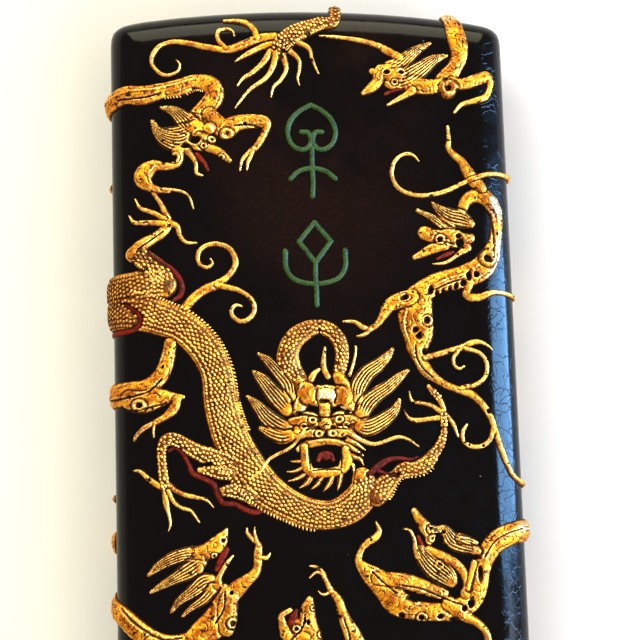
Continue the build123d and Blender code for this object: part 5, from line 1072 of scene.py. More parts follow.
@dataclass
class Relief:
    """All the carved figures of one face.

    Args:
        panel: the face.
        finishes: material of each slot.
    """

    panel: Panel
    finishes: dict[str, bpy.types.Material]
    carved: dict[str, tuple[slice, slice, np.ndarray]] = field(default_factory=dict)
    SINK = -0.5  # mm, where the undersides lie, inside the cake
    # painted shade of the bed between the scales, at its darkest
    BED_SHADE = 0.55
    FAR = 9.0  # mm, more than any distance or height that counts
    FLAME_BANK = 1.2  # mm beside a flame where the dragon gives way to it
    FLAME_BED = 0.22  # mm that the dragon stands at the flame's edge
    FLAME_SLOPE = 1.9

    def carve(self) -> None:
        """Works every figure, lowest first, and lets the flames into what lies under them."""
        channel = np.full(self.panel.u.shape, self.FAR)
        for stroke in FLAMES:
            trail = self.panel.trace(stroke)
            gap = (trail.reach - 1) * trail.half
            channel[trail.rows, trail.cols] = np.minimum(channel[trail.rows, trail.cols], gap)
        bank = self.FLAME_BED + self.FLAME_SLOPE * np.clip(channel, 0, None)
        limit = np.where(channel < self.FLAME_BANK, bank, self.FAR)
        for number, (name, figure) in enumerate(figures().items()):
            rows, cols, height = Carving(self.panel, figure, 11 * number).heights()
            if name.startswith("great_dragon") and figure.slot != "red_pigment":
                height = np.minimum(height, limit[rows, cols])
            self.carved[name] = (rows, cols, height)
            ground = self.panel.ground[rows, cols]
            np.maximum(ground, height, out=ground)

    def shades(self) -> np.ndarray:
        """Painted shade, rubbing with painted highlight, and painted reflection at each grid point, from the
        finished heights.
        """
        ground, pitch = self.panel.ground, self.panel.pitch
        near, far = blur(ground, 0.2 / pitch), blur(ground, 0.6 / pitch)
        # painted shade: darker where a point lies below its neighbours, and where the relief sinks to the
        # cake
        painted_shade = np.clip((near - ground - 0.012) / 0.06, 0, 1) + 0.7 * np.clip((far - ground) / 0.28, 0, 1)
        painted_shade += 1.2 * np.clip(1 - ground / 0.46, 0, 1)
        # rubbing and painted highlight: paler where a point stands above its neighbours
        wear_and_highlight = np.clip((ground - near - 0.035) / 0.1, 0, 1) * np.clip((ground - far) / 0.16, 0, 1)
        # painted reflection: paler patches where lamps would be seen in the gilding
        painted_reflection = np.zeros_like(ground)
        for x, y, rx, ry in PAINTED_REFLECTION_SPOTS:
            centre = self.panel.skin.unroll(np.array([[x, y, 0.0]]))[0]
            off = np.hypot((self.panel.u - centre[0]) / rx, (self.panel.v - centre[1]) / ry)
            painted_reflection = np.maximum(painted_reflection, np.exp(-(off**4)))
        return np.stack([np.clip(painted_shade, 0, 1), np.clip(wear_and_highlight, 0, 1), painted_reflection], -1)

    def build(self) -> Iterator[tuple[bpy.types.Object, str, list[str]]]:
        """Builds each figure's mesh.

        Returns:
            for each, the object, its slot and the CAD nodes that it stands for.
        """
        shades = self.shades()
        prefix = "" if self.panel.side is Side.FRONT else "back_"
        table = figures()
        tongues: list[bpy.types.Object] = []
        for name, (rows, cols, height) in self.carved.items():
            figure = table[name]
            r, c, faces = closed_shell(height > 0.0)
            top = np.clip(height[r, c], -0.2, None)
            u, v = self.panel.u[rows, cols][r, c], self.panel.v[rows, cols][r, c]
            place = self.panel.skin.place
            points = np.concatenate([place(u, v, top, self.panel.side),
                                     place(u, v, np.full_like(top, self.SINK), self.panel.side)])
            tone = shades[rows, cols][r, c].copy()
            if name in SCALED:
                # painted shade on the bed between the scales
                tone[:, 0] = np.maximum(tone[:, 0], self.scale_bed_shade(name, rows, cols)[r, c])
            piece = to_object(f"gilt_{prefix}{name}", points, faces, self.finishes[figure.slot])
            tint(piece, np.concatenate([tone, tone * 0]))
            if prefix and name.startswith("young_tongue"):
                tongues.append(piece)
            else:
                yield piece, figure.slot, [prefix + name]
        if tongues:
            yield joined("gilt_back_young_tongues", tongues), "red_pigment", ["back_young_tongues"]

    def scale_bed_shade(self, name: str, rows: slice, cols: slice) -> np.ndarray:
        """Painted shade of the bed under the scales: full inside the border line of a scaled figure."""
        bed = np.zeros(self.panel.u[rows, cols].shape)
        for stroke in figures()[name].strokes[:SCALED[name][0]]:
            trail = self.panel.trace(stroke)
            r, c = trail.within(rows, cols)
            inner = np.clip((0.84 - trail.reach) / 0.06, 0, 1) * (trail.half > SCALED[name][1])
            inner *= np.clip((trail.along.max() - trail.along) / 0.6, 0, 1)
            darker = np.maximum(inner * self.BED_SHADE, bed[r, c] * (inner > 0))
            bed[r, c] = np.where(trail.reach < 1, darker, bed[r, c])
        return bed

    def height_at(self, u: np.ndarray, v: np.ndarray) -> np.ndarray:
        """Height of the finished relief at points of the skin."""
        r, c = self.panel.nearest(u, v)
        last_row, last_col = len(self.panel.vs) - 1, len(self.panel.us) - 1
        return self.panel.ground[np.clip(r, 0, last_row), np.clip(c, 0, last_col)]

    def owner_height(self, name: str, u: np.ndarray, v: np.ndarray) -> np.ndarray:
        """Height of one figure at points of the skin, below nought outside its window."""
        rows, cols, height = self.carved[name]
        r, c = self.panel.nearest(u, v)
        r, c = r - rows.start, c - cols.start
        inside = (r >= 0) & (c >= 0) & (r < height.shape[0]) & (c < height.shape[1])
        found = height[np.clip(r, 0, height.shape[0] - 1), np.clip(c, 0, height.shape[1] - 1)]
        return np.where(inside, found, -1.0)


def joined(name: str, pieces: list[bpy.types.Object]) -> bpy.types.Object:
    """One object from several with the same finish."""
    with bpy.context.temp_override(active_object=pieces[0], selected_editable_objects=pieces):
        bpy.ops.object.join()
    pieces[0].name = pieces[0].data.name = name
    return pieces[0]


# ---- node trees -------------------------------------------------------------------------------
@dataclass
class Bench:
    """Adds nodes to one tree and joins them."""

    tree: bpy.types.NodeTree

    def add(self, kind: str, sockets: dict[Any, Any] | None = None, **settings: Any) -> bpy.types.Node:
        """Adds a node.

        Args:
            kind: its type.
            sockets: for each input, by name or number, a value or an output to join to it.
            settings: its own properties.

        Returns:
            the node.
        """
        node = self.tree.nodes.new(kind)
        for key, value in settings.items():
            setattr(node, key, value)
        for key, value in (sockets or {}).items():
            socket = node.inputs[key]
            if isinstance(value, bpy.types.NodeSocket):
                self.tree.links.new(value, socket)
            else:
                socket.default_value = value
        return node

    def math(self, operation: str, *values: Any) -> bpy.types.NodeSocket:
        """Output of a sum, product or other operation."""
        return self.add("ShaderNodeMath", dict(enumerate(values)), operation=operation).outputs[0]

    def ramp(self, value: Any, low: float, high: float, to_low: float = 0.0, to_high: float = 1.0
             ) -> bpy.types.NodeSocket:
        """Output that goes smoothly from to_low to to_high as a value goes from low to high."""
        return self.add("ShaderNodeMapRange", {0: value, 1: low, 2: high, 3: to_low, 4: to_high},
                        interpolation_type="SMOOTHSTEP").outputs[0]

    def mix(self, share: Any, first: Any, second: Any) -> bpy.types.NodeSocket:
        """Colour between two colours."""
        return self.add("ShaderNodeMix", {0: share, 6: first, 7: second}, data_type="RGBA").outputs[2]

    def noise(self, place: Any, scale: float, detail: float = 3.0, rough: float = 0.55
              ) -> bpy.types.NodeSocket:
        """Even noise, scale in lumps for each metre."""
        return self.add("ShaderNodeTexNoise", {"Vector": place, "Scale": scale, "Detail": detail,
                                               "Roughness": rough}).outputs[0]

    def relief_tone(self) -> list[bpy.types.NodeSocket]:
        """Painted shade, rubbing with painted highlight, and painted reflection, from the colour attribute
        that each relief mesh stores.
        """
        stored = self.add("ShaderNodeAttribute", attribute_name=TONE)
        return list(self.add("ShaderNodeSeparateColor", {0: stored.outputs["Color"]}).outputs)


Colour = tuple[float, float, float, float]


@dataclass(frozen=True)
class Finish:
    """A surface finish.

    Args:
        name: of its material.
        roughness: of its shader where nothing varies it.
        specular: strength of its highlights.
    """

    name: str
    roughness: float = 0.5
    specular: float = 0.5

    def material(self) -> bpy.types.Material:
        """The finish as a material."""
        made = bpy.data.materials.new(self.name)
        made.use_nodes = True
        bench = Bench(made.node_tree)
        shader = made.node_tree.nodes["Principled BSDF"]
        shader.inputs["Roughness"].default_value = self.roughness
        shader.inputs["Specular IOR Level"].default_value = self.specular
        place = bench.add("ShaderNodeTexCoord").outputs["Object"]
        self.dress(bench, shader, place)
        return made

    def dress(self, bench: Bench, shader: bpy.types.Node, place: bpy.types.NodeSocket) -> None:
        """Joins colour, roughness and bump to the shader."""
        raise NotImplementedError

    @staticmethod
    def bumped(bench: Bench, shader: bpy.types.Node, height: Any, strength: float, distance: float) -> None:
        """Joins a bump of a height to the shader."""
        bump = bench.add("ShaderNodeBump", {"Height": height, "Strength": strength, "Distance": distance})
        bench.tree.links.new(bump.outputs[0], shader.inputs["Normal"])


@dataclass(frozen=True)
class InkLacquer(Finish):
    """Near-black lacquered ink: a warm tint in patches, fine crazing where the faces turn to the sides."""

    black: Colour = (0.0026, 0.0016, 0.0014, 1)
    brown: Colour = (0.020, 0.0064, 0.0040, 1)
    dust: Colour = (0.16, 0.14, 0.12, 1)
    flat_half: float = 0.0315  # m
    crazing: float = 430.0  # cells in a metre
    crack_width: float = 0.05  # share of a cell
    flecks: float = 150.0  # in a metre
    fleck_size: float = 0.022  # share of the distance between them
    streaks: float = 260.0  # in a metre

    def dress(self, bench: Bench, shader: bpy.types.Node, place: bpy.types.NodeSocket) -> None:
        """Joins colour, roughness and bump to the shader."""
        split = bench.add("ShaderNodeSeparateXYZ", {0: place}).outputs
        patches = bench.noise(place, 42, 4, 0.6)
        middle = bench.ramp(bench.math("ABSOLUTE", split[0]), 0.004, self.flat_half * 0.95, 1, 0)
        upper = bench.ramp(split[1], 0.0, 0.045)
        warm = bench.math("MULTIPLY", bench.math("MULTIPLY", middle, upper), bench.ramp(patches, 0.38, 0.62))
        grains = bench.ramp(bench.noise(place, 2400, 2), 0.5, 0.7)
        colour = bench.mix(bench.math("MULTIPLY", warm, bench.math("MULTIPLY_ADD", grains, 0.6, 0.4)),
                           self.black, self.brown)
        cell = bench.add("ShaderNodeTexVoronoi", {"Vector": place, "Scale": self.flecks})
        fleck = bench.math("LESS_THAN", cell.outputs["Distance"], self.fleck_size)
        chosen = bench.math("GREATER_THAN", bench.noise(place, 55, 1), 0.57)
        colour = bench.mix(bench.math("MULTIPLY", fleck, chosen), colour, self.dust)
        edge = bench.ramp(split[0], self.flat_half * 0.97, self.flat_half * 1.07)
        wander = bench.add("ShaderNodeTexNoise", {"Vector": place, "Scale": 190.0, "Detail": 3.0}).outputs[1]
        warp = bench.add("ShaderNodeVectorMath", {0: wander, 1: (0.0065, 0.0065, 0.0065), 2: place},
                         operation="MULTIPLY_ADD")
        crack = bench.add("ShaderNodeTexVoronoi", {"Vector": warp.outputs[0], "Scale": self.crazing},
                          feature="DISTANCE_TO_EDGE").outputs[0]
        line = bench.math("MULTIPLY", bench.ramp(crack, 0.0, self.crack_width, 1, 0),
                          bench.ramp(bench.noise(place, 120, 2), 0.36, 0.54))
        line = bench.math("MULTIPLY", line, edge)
        bench.tree.links.new(colour, shader.inputs["Base Color"])
        streaks = bench.noise(place, self.streaks, 5, 0.62)
        smear = bench.ramp(bench.noise(place, 90, 4, 0.6), 0.4, 0.66)
        rough = bench.math("ADD", bench.ramp(streaks, 0.3, 0.7, self.roughness - 0.03, self.roughness + 0.05),
                           bench.math("MULTIPLY", smear, 0.03))
        bench.tree.links.new(rough, shader.inputs["Roughness"])
        height = bench.math("SUBTRACT", bench.math("MULTIPLY", streaks, 0.35),
                            bench.math("MULTIPLY", line, 0.3))
        height = bench.math("ADD", height, bench.math("MULTIPLY", bench.noise(place, 1100, 3), 0.12))
        self.bumped(bench, shader, height, 0.35, 0.00022)


@dataclass(frozen=True)
class Gilding(Finish):
    """Thick gilding: paler on its edges from rubbing and painted highlight, paler still in painted reflection
    spots, orange in patches, red-brown to near black in painted shade down its hollows, and flaked.
    """

    gold: Colour = (0.84, 0.335, 0.010, 1)
    amber: Colour = (0.50, 0.110, 0.003, 1)
    # pale gold of rubbing on the edges and of painted highlight on the ridges
    worn_and_highlight: Colour = (1.0, 0.72, 0.20, 1)
    # painted reflection: pale tan where lamps would be seen in the gilding
    reflection_pale: Colour = (0.85, 0.70, 0.40, 1)
    # painted shade: red-brown in the shallower hollows, also along veins and in dark patches
    brown: Colour = (0.17, 0.034, 0.004, 1)
    # painted shade: near black in the deepest hollows, also along veins and in dark patches
    painted_shade: Colour = (0.020, 0.0045, 0.002, 1)
    metallic: float = 0.45
    flaking: float = 0.64
    patching: float = 520.0  # patches in a metre
    graining: float = 2600.0  # grains in a metre
    bare: Colour = (0.012, 0.004, 0.002, 1)

    def dress(self, bench: Bench, shader: bpy.types.Node, place: bpy.types.NodeSocket) -> None:
        """Joins colour, roughness and bump to the shader."""
        shader.inputs["Metallic"].default_value = self.metallic
        shader.inputs["Specular Tint"].default_value = self.worn_and_highlight
        tone = bench.relief_tone()
        patches = bench.noise(place, self.patching, 4, 0.6)
        fine = bench.noise(place, self.graining, 3, 0.6)
        colour = bench.mix(bench.ramp(patches, 0.40, 0.60), self.gold, self.amber)
        colour = bench.mix(bench.ramp(fine, 0.5, 0.72, 0, 0.6), colour, self.amber)
        # rubbing and painted highlight: paler where the stored tone marks ridges
        wear_and_highlight = bench.math("MULTIPLY", tone[1], bench.ramp(fine, 0.36, 0.6, 0.3, 1))
        colour = bench.mix(wear_and_highlight, colour, self.worn_and_highlight)
        # painted reflection: paler in the spots that the stored tone marks
        colour = bench.mix(bench.math("MULTIPLY", tone[2], bench.ramp(patches, 0.3, 0.6, 0.5, 0.9)),
                           colour, self.reflection_pale)
        vein = bench.math("ABSOLUTE", bench.math("SUBTRACT", bench.noise(place, 760, 4, 0.6), 0.5))
        # painted shade in the hollows from the stored tone, together with dark patches and veins
        depth = bench.math("ADD", tone[0], bench.math("MULTIPLY_ADD", patches, 0.8, -0.38))
        depth = bench.math("ADD", depth, bench.ramp(vein, 0.0, 0.03, 0.34, 0))
        shade_and_stain = bench.ramp(depth, 0.5, 0.95)
        colour = bench.mix(shade_and_stain, bench.mix(bench.ramp(depth, 0.08, 0.45), colour, self.brown), self.painted_shade)
        flake = bench.ramp(bench.noise(place, 780, 2, 0.5), self.flaking, self.flaking + 0.03)
        colour = bench.mix(flake, colour, self.bare)
        bench.tree.links.new(colour, shader.inputs["Base Color"])
        rough = bench.math("ADD", bench.ramp(fine, 0.3, 0.7, self.roughness - 0.08, self.roughness + 0.1),
                           bench.math("MULTIPLY", shade_and_stain, 0.2))
        bench.tree.links.new(rough, shader.inputs["Roughness"])
        height = bench.math("SUBTRACT", bench.math("MULTIPLY_ADD", patches, 0.6, fine), flake)
        self.bumped(bench, shader, height, 0.45, 0.00012)


@dataclass(frozen=True)
class Pigment(Finish):
    """Painted pigment over the relief: darker in patches and in painted shade down its hollows, paler on its
    edges from rubbing and painted highlight.
    """

    colour: Colour = (0.026, 0.080, 0.010, 1)
    # dark patches, and painted shade in the hollows
    dark: Colour = (0.007, 0.020, 0.003, 1)
    # paler colour of rubbing on the edges and of painted highlight on the ridges
    rubbed_and_highlight: Colour = (0.085, 0.17, 0.035, 1)
    patching: float = 700.0  # patches in a metre
    graining: float = 3200.0  # grains in a metre

    def dress(self, bench: Bench, shader: bpy.types.Node, place: bpy.types.NodeSocket) -> None:
        """Joins colour, roughness and bump to the shader."""
        tone = bench.relief_tone()
        patches = bench.noise(place, self.patching, 4, 0.6)
        fine = bench.noise(place, self.graining, 3, 0.6)
        colour = bench.mix(bench.ramp(patches, 0.4, 0.68), self.colour, self.dark)
        # rubbing with painted highlight on the edges, then painted shade in the hollows
        colour = bench.mix(bench.math("MULTIPLY", tone[1], bench.ramp(fine, 0.35, 0.65)), colour, self.rubbed_and_highlight)
        colour = bench.mix(bench.math("MULTIPLY", tone[0], 0.8), colour, self.dark)
        bench.tree.links.new(colour, shader.inputs["Base Color"])
        bench.tree.links.new(bench.ramp(fine, 0.3, 0.7, self.roughness - 0.1, self.roughness + 0.1),
                             shader.inputs["Roughness"])
        self.bumped(bench, shader, bench.math("ADD", patches, fine), 0.4, 0.00010)


@dataclass(frozen=True)
class StudioFloor(Finish):
    """Pale matt paper that the stick lies on, with painted light making it whiter towards +x."""

    cream: Colour = (0.93, 0.905, 0.765, 1)
    lit_white: Colour = (0.93, 0.93, 0.93, 1)

    def dress(self, bench: Bench, shader: bpy.types.Node, place: bpy.types.NodeSocket) -> None:
        """Joins colour and bump to the shader."""
        across = bench.add("ShaderNodeSeparateXYZ", {0: place}).outputs[0]
        # painted light: cream turning whiter towards +x, where the floor is most brightly lit
        colour = bench.mix(bench.ramp(across, -0.03, 0.05), self.cream, self.lit_white)
        bench.tree.links.new(colour, shader.inputs["Base Color"])
        self.bumped(bench, shader, bench.noise(place, 1500, 2), 0.08, 0.0001)


def new_tree(name: str, inputs: dict[str, tuple[str, Any]]) -> tuple[Bench, bpy.types.Node, bpy.types.Node]:
    """Starts a Geometry Nodes tree.

    Args:
        name: of the tree.
        inputs: for each named input after the geometry, its socket type and default.

    Returns:
        a bench on the tree, its input node and its output node.
    """
    tree = bpy.data.node_groups.new(name, "GeometryNodeTree")
    tree.interface.new_socket("Geometry", in_out="INPUT", socket_type="NodeSocketGeometry")
    for label, (kind, value) in inputs.items():
        socket = tree.interface.new_socket(label, in_out="INPUT", socket_type=f"NodeSocket{kind}")
        if value is not None:
            socket.default_value = value
    tree.interface.new_socket("Geometry", in_out="OUTPUT", socket_type="NodeSocketGeometry")
    bench = Bench(tree)
    return bench, bench.add("NodeGroupInput"), bench.add("NodeGroupOutput")


def with_tone(bench: Bench, mesh: bpy.types.Node, painted_shade: Any, wear_and_highlight: Any) -> bpy.types.Node:
    """Stores a painted shade and a share of rubbing with painted highlight on a mesh, as the attribute that
    the finishes read.
    """
    tone = bench.add("FunctionNodeCombineColor", {0: painted_shade, 1: wear_and_highlight, 2: 0.0})
    toned = bench.add("GeometryNodeStoreNamedAttribute", {0: mesh.outputs[0], "Name": TONE},
                      data_type="FLOAT_COLOR", domain="POINT")
    bench.tree.links.new(tone.outputs[0], toned.inputs["Value"])
    return toned


def finished(bench: Bench, last: bpy.types.Node, given: bpy.types.Node, out: bpy.types.Node
             ) -> bpy.types.NodeTree:
    """Ends a tree: makes its instances real and gives them their material."""
    real = bench.add("GeometryNodeRealizeInstances", {0: last.outputs[0]})
    dressed = bench.add("GeometryNodeSetMaterial", {0: real.outputs[0],
                                                    "Material": given.outputs["Material"]})
    bench.tree.links.new(dressed.outputs[0], out.inputs[0])
    return bench.tree


def plate_tree() -> bpy.types.NodeTree:
    """Tree that sets one domed plate on each point, facing out of the skin and lying along the figure."""
    bench, given, out = new_tree("plates_on_points", {
        "Length": ("Float", 0.0009), "Width": ("Float", 0.0007), "Rise": ("Float", 0.0002),
        "Tilt": ("Float", 0.2), "Jitter": ("Float", 0.1), "Seed": ("Int", 3), "Material": ("Material", None)})
    ball = bench.add("GeometryNodeMeshUVSphere", {"Segments": 8, "Rings": 5, "Radius": 1.0})
    up = bench.add("ShaderNodeSeparateXYZ", {0: bench.add("GeometryNodeInputPosition").outputs[0]}).outputs[2]
    # painted shade on the low side of each plate, painted highlight on its crown
    toned = with_tone(bench, ball, bench.ramp(up, 0.1, 0.62, 1, 0), bench.ramp(up, 0.6, 1.0, 0, 0.75))
    size = bench.add("ShaderNodeCombineXYZ", {0: bench.math("MULTIPLY", given.outputs["Width"], 0.5),
                                              1: bench.math("MULTIPLY", given.outputs["Length"], 0.5),
                                              2: given.outputs["Rise"]})
    tilt = bench.add("ShaderNodeCombineXYZ", {0: given.outputs["Tilt"]})
    plate = bench.add("GeometryNodeTransform", {0: toned.outputs[0], "Scale": size.outputs[0],
                                                "Rotation": tilt.outputs[0]})
    smooth = bench.add("GeometryNodeSetShadeSmooth", {0: plate.outputs[0]})

    def stored(name: str, kind: str) -> bpy.types.NodeSocket:
        """Output of an attribute of the points."""
        return bench.add("GeometryNodeInputNamedAttribute", {"Name": name}, data_type=kind).outputs[0]

    turn = bench.add("FunctionNodeAxesToRotation", {0: stored("facing", "FLOAT_VECTOR"),
                                                    1: stored("heading", "FLOAT_VECTOR")},
                     primary_axis="Z", secondary_axis="Y")
    chance = bench.add("FunctionNodeRandomValue", {"Seed": given.outputs["Seed"]}, data_type="FLOAT")
    chance.inputs[2].default_value, chance.inputs[3].default_value = -1.0, 1.0
    chance_out = next(s for s in chance.outputs if s.enabled)
    spread = bench.math("MULTIPLY_ADD", chance_out, given.outputs["Jitter"], 1.0)
    grown = bench.math("MULTIPLY", stored("size", "FLOAT"), spread)
    scale = bench.add("ShaderNodeCombineXYZ", {0: grown, 1: grown, 2: grown})
    placed = bench.add("GeometryNodeInstanceOnPoints", {
        "Points": given.outputs["Geometry"], "Instance": smooth.outputs[0], "Rotation": turn.outputs[0],
        "Scale": scale.outputs[0]})
    return finished(bench, placed, given, out)


def line_tree() -> bpy.types.NodeTree:
    """Tree that draws a round line along each chain of edges, as wide as its points say."""
    bench, given, out = new_tree("lines_on_chains", {"Sides": ("Int", 10), "Wear": ("Float", 0.4),
                                                     "Material": ("Material", None)})
    chain = bench.add("GeometryNodeMeshToCurve", {0: given.outputs["Geometry"]})
    ring = bench.add("GeometryNodeCurvePrimitiveCircle", {"Resolution": given.outputs["Sides"],
                                                          "Radius": 1.0})
    wide = bench.add("GeometryNodeInputNamedAttribute", {"Name": "half_width"}, data_type="FLOAT")
    tube = bench.add("GeometryNodeCurveToMesh", {"Curve": chain.outputs[0], "Profile Curve": ring.outputs[0],
                                                 "Scale": wide.outputs[0], "Fill Caps": True})
    toned = with_tone(bench, tube, 0.05, given.outputs["Wear"])
    smooth = bench.add("GeometryNodeSetShadeSmooth", {0: toned.outputs[0]})
    return finished(bench, smooth, given, out)


def grow(name: str, seed_mesh: bpy.types.Mesh, tree: bpy.types.NodeTree, values: dict[str, Any]
         ) -> bpy.types.Object:
    """Runs a tree on a mesh and keeps the result as a plain mesh.

    Args:
        name: of the piece.
        seed_mesh: the points or chains that the tree works on.
        tree: the tree.
        values: its named inputs.

    Returns:
        the piece, with no modifier left on it.
    """
    piece = bpy.data.objects.new(name, seed_mesh)
    bpy.context.scene.collection.objects.link(piece)
    modifier = piece.modifiers.new("grow", "NODES")
    modifier.node_group = tree
    for item in tree.interface.items_tree:
        if item.item_type == "SOCKET" and item.in_out == "INPUT" and item.name in values:
            modifier[item.identifier] = values[item.name]
    piece.update_tag()
    depsgraph = bpy.context.evaluated_depsgraph_get()
    mesh = bpy.data.meshes.new_from_object(piece.evaluated_get(depsgraph), preserve_all_data_layers=True,
                                           depsgraph=depsgraph)
    piece.modifiers.remove(modifier)
    piece.data = mesh
    mesh.name = name
    face_outward(mesh)
    return piece


def face_outward(mesh: bpy.types.Mesh) -> None:
    """Turns a closed mesh the right way out where it came inside out."""
    mesh.calc_loop_triangles()
    corners = np.zeros(len(mesh.loop_triangles) * 3, int)
    mesh.loop_triangles.foreach_get("vertices", corners)
    points = np.zeros(len(mesh.vertices) * 3)
    mesh.vertices.foreach_get("co", points)
    a, b, c = points.reshape(-1, 3)[corners.reshape(-1, 3)].transpose(1, 0, 2)
    if np.einsum("ij,ij->i", a, np.cross(b, c)).sum() < 0:
        mesh.flip_normals()


# ---- sub-assemblies ---------------------------------------------------------------------------
@dataclass
class Cake:
    """The cake of ink: a rounded slab with arched ends, its surface very slightly uneven.

    Args:
        skin: its size.
        across: cells over half the flat's width.
        along: cells over half the flat's length.
        turns: steps round a roundover.
        corners: steps round a corner.
        unevenness: mm that the surface rises and falls.
    """

    skin: Skin
    across: int = 34
    along: int = 80
    turns: int = 14
    corners: int = 10
    unevenness: float = 0.05
    TRUE_BAND = 3  # mm either side of the middle plane where the sides have no unevenness
    WELD_REACH = 0.00002  # m

    def build(self, finish: bpy.types.Material) -> bpy.types.Object:
        """Makes the closed slab."""
        skin = self.skin
        xs = np.linspace(-skin.flat_half, skin.flat_half, 2 * self.across + 1)
        ts = np.linspace(-1, 1, 2 * self.along + 1)
        x, t = np.meshgrid(xs, ts)
        flat = np.stack([x, t * skin.end_of_flat(x)], -1)
        spokes = self.spokes(flat)
        anchor, way = spokes[:, :2], spokes[:, 2:]
        reach = np.linspace(0, skin.bend, self.turns + 1)[1:]
        reach = np.append(reach, [skin.bend + (skin.girth - skin.bend) * s for s in (0.5, 1.0)])
        grids = [flat.reshape(-1, 2)] + [anchor + way * s for s in reach]
        uv = np.concatenate(grids)
        faces = self.faces(flat.shape[:2], len(spokes), len(reach))
        front = skin.place(uv[:, 0], uv[:, 1], np.zeros(len(uv)), Side.FRONT)
        back = front * (1, 1, -1) + (0, 0, 2 * skin.middle)
        count = len(uv)
        points = np.concatenate([front, back])
        uneven = np.abs(points[:, 2] - skin.middle) > self.TRUE_BAND
        points[:, 2] += self.unevenness * self.swell(points) * uneven
        faces += [[i + count for i in reversed(f)] for f in faces]
        cake = to_object("ink_cake_lacquered", points, faces, finish)
        weld(cake.data, self.WELD_REACH)
        return cake

    def spokes(self, flat: np.ndarray) -> np.ndarray:
        """Where each line over the roundover starts on the flat's edge, and which way it goes.

        Args:
            flat: u and v of the flat's grid.

        Returns:
            rows of u, v and the direction, anticlockwise round the face.
        """
        turn = np.linspace(0, math.pi / 2, self.corners + 1)
        bow = np.stack([np.cos(turn), np.sin(turn)], 1)
        bow /= (np.abs(bow) ** self.skin.corner).sum(1, keepdims=True) ** (1 / self.skin.corner)
        sides = [(flat[0, :], (0, -1)), (flat[:, -1], (1, 0)),
                 (flat[-1, ::-1], (0, 1)), (flat[::-1, 0], (-1, 0))]
        rows = []
        for number, (line, way) in enumerate(sides):
            rows += [(*p, *way) for p in line[1:-1]]
            angle = (number - 1) * math.pi / 2
            spin = np.array([[math.cos(angle), -math.sin(angle)], [math.sin(angle), math.cos(angle)]])
            rows += [(*line[-1], *(spin @ d)) for d in bow]
        return np.array(rows)

    def faces(self, shape: tuple[int, int], spokes: int, rings: int) -> list[list[int]]:
        """Faces of the flat and of the rings round it."""
        grid = np.arange(shape[0] * shape[1]).reshape(shape)
        quads = grid_quads(grid).tolist()
        rim: list[int] = []
        for line in (grid[0, :], grid[:, -1], grid[-1, ::-1], grid[::-1, 0]):
            rim += line[1:-1].tolist() + [int(line[-1])] * (self.corners + 1)
        inner = rim
        for ring in range(rings):
            start = grid.size + ring * spokes
            outer = list(range(start, start + spokes))
            for i in range(spokes):
                j = (i + 1) % spokes
                face = [inner[i], outer[i], outer[j], inner[j]]
                quads.append(face[:3] if inner[i] == inner[j] else face)
            inner = outer
        return quads

    def swell(self, points: np.ndarray) -> np.ndarray:
        """Slow unevenness of a hand-pressed surface, between -1 and 1."""
        x, y, z = points.T
        side = np.sign(z - self.skin.middle)
        wave = np.sin(0.11 * x + 0.05 * y + 1) * np.sin(0.07 * y + 2 * side)
        return side * (0.6 * wave + 0.25 * np.sin(0.31 * x - 0.2 * y) + 0.15 * np.sin(0.8 * x + 0.6 * y))


def weld(mesh: bpy.types.Mesh, reach: float) -> None:
    """Joins vertices that lie together."""
    work = bmesh.new()
    work.from_mesh(mesh)
    bmesh.ops.remove_doubles(work, verts=work.verts, dist=reach)
    work.to_mesh(mesh)
    work.free()


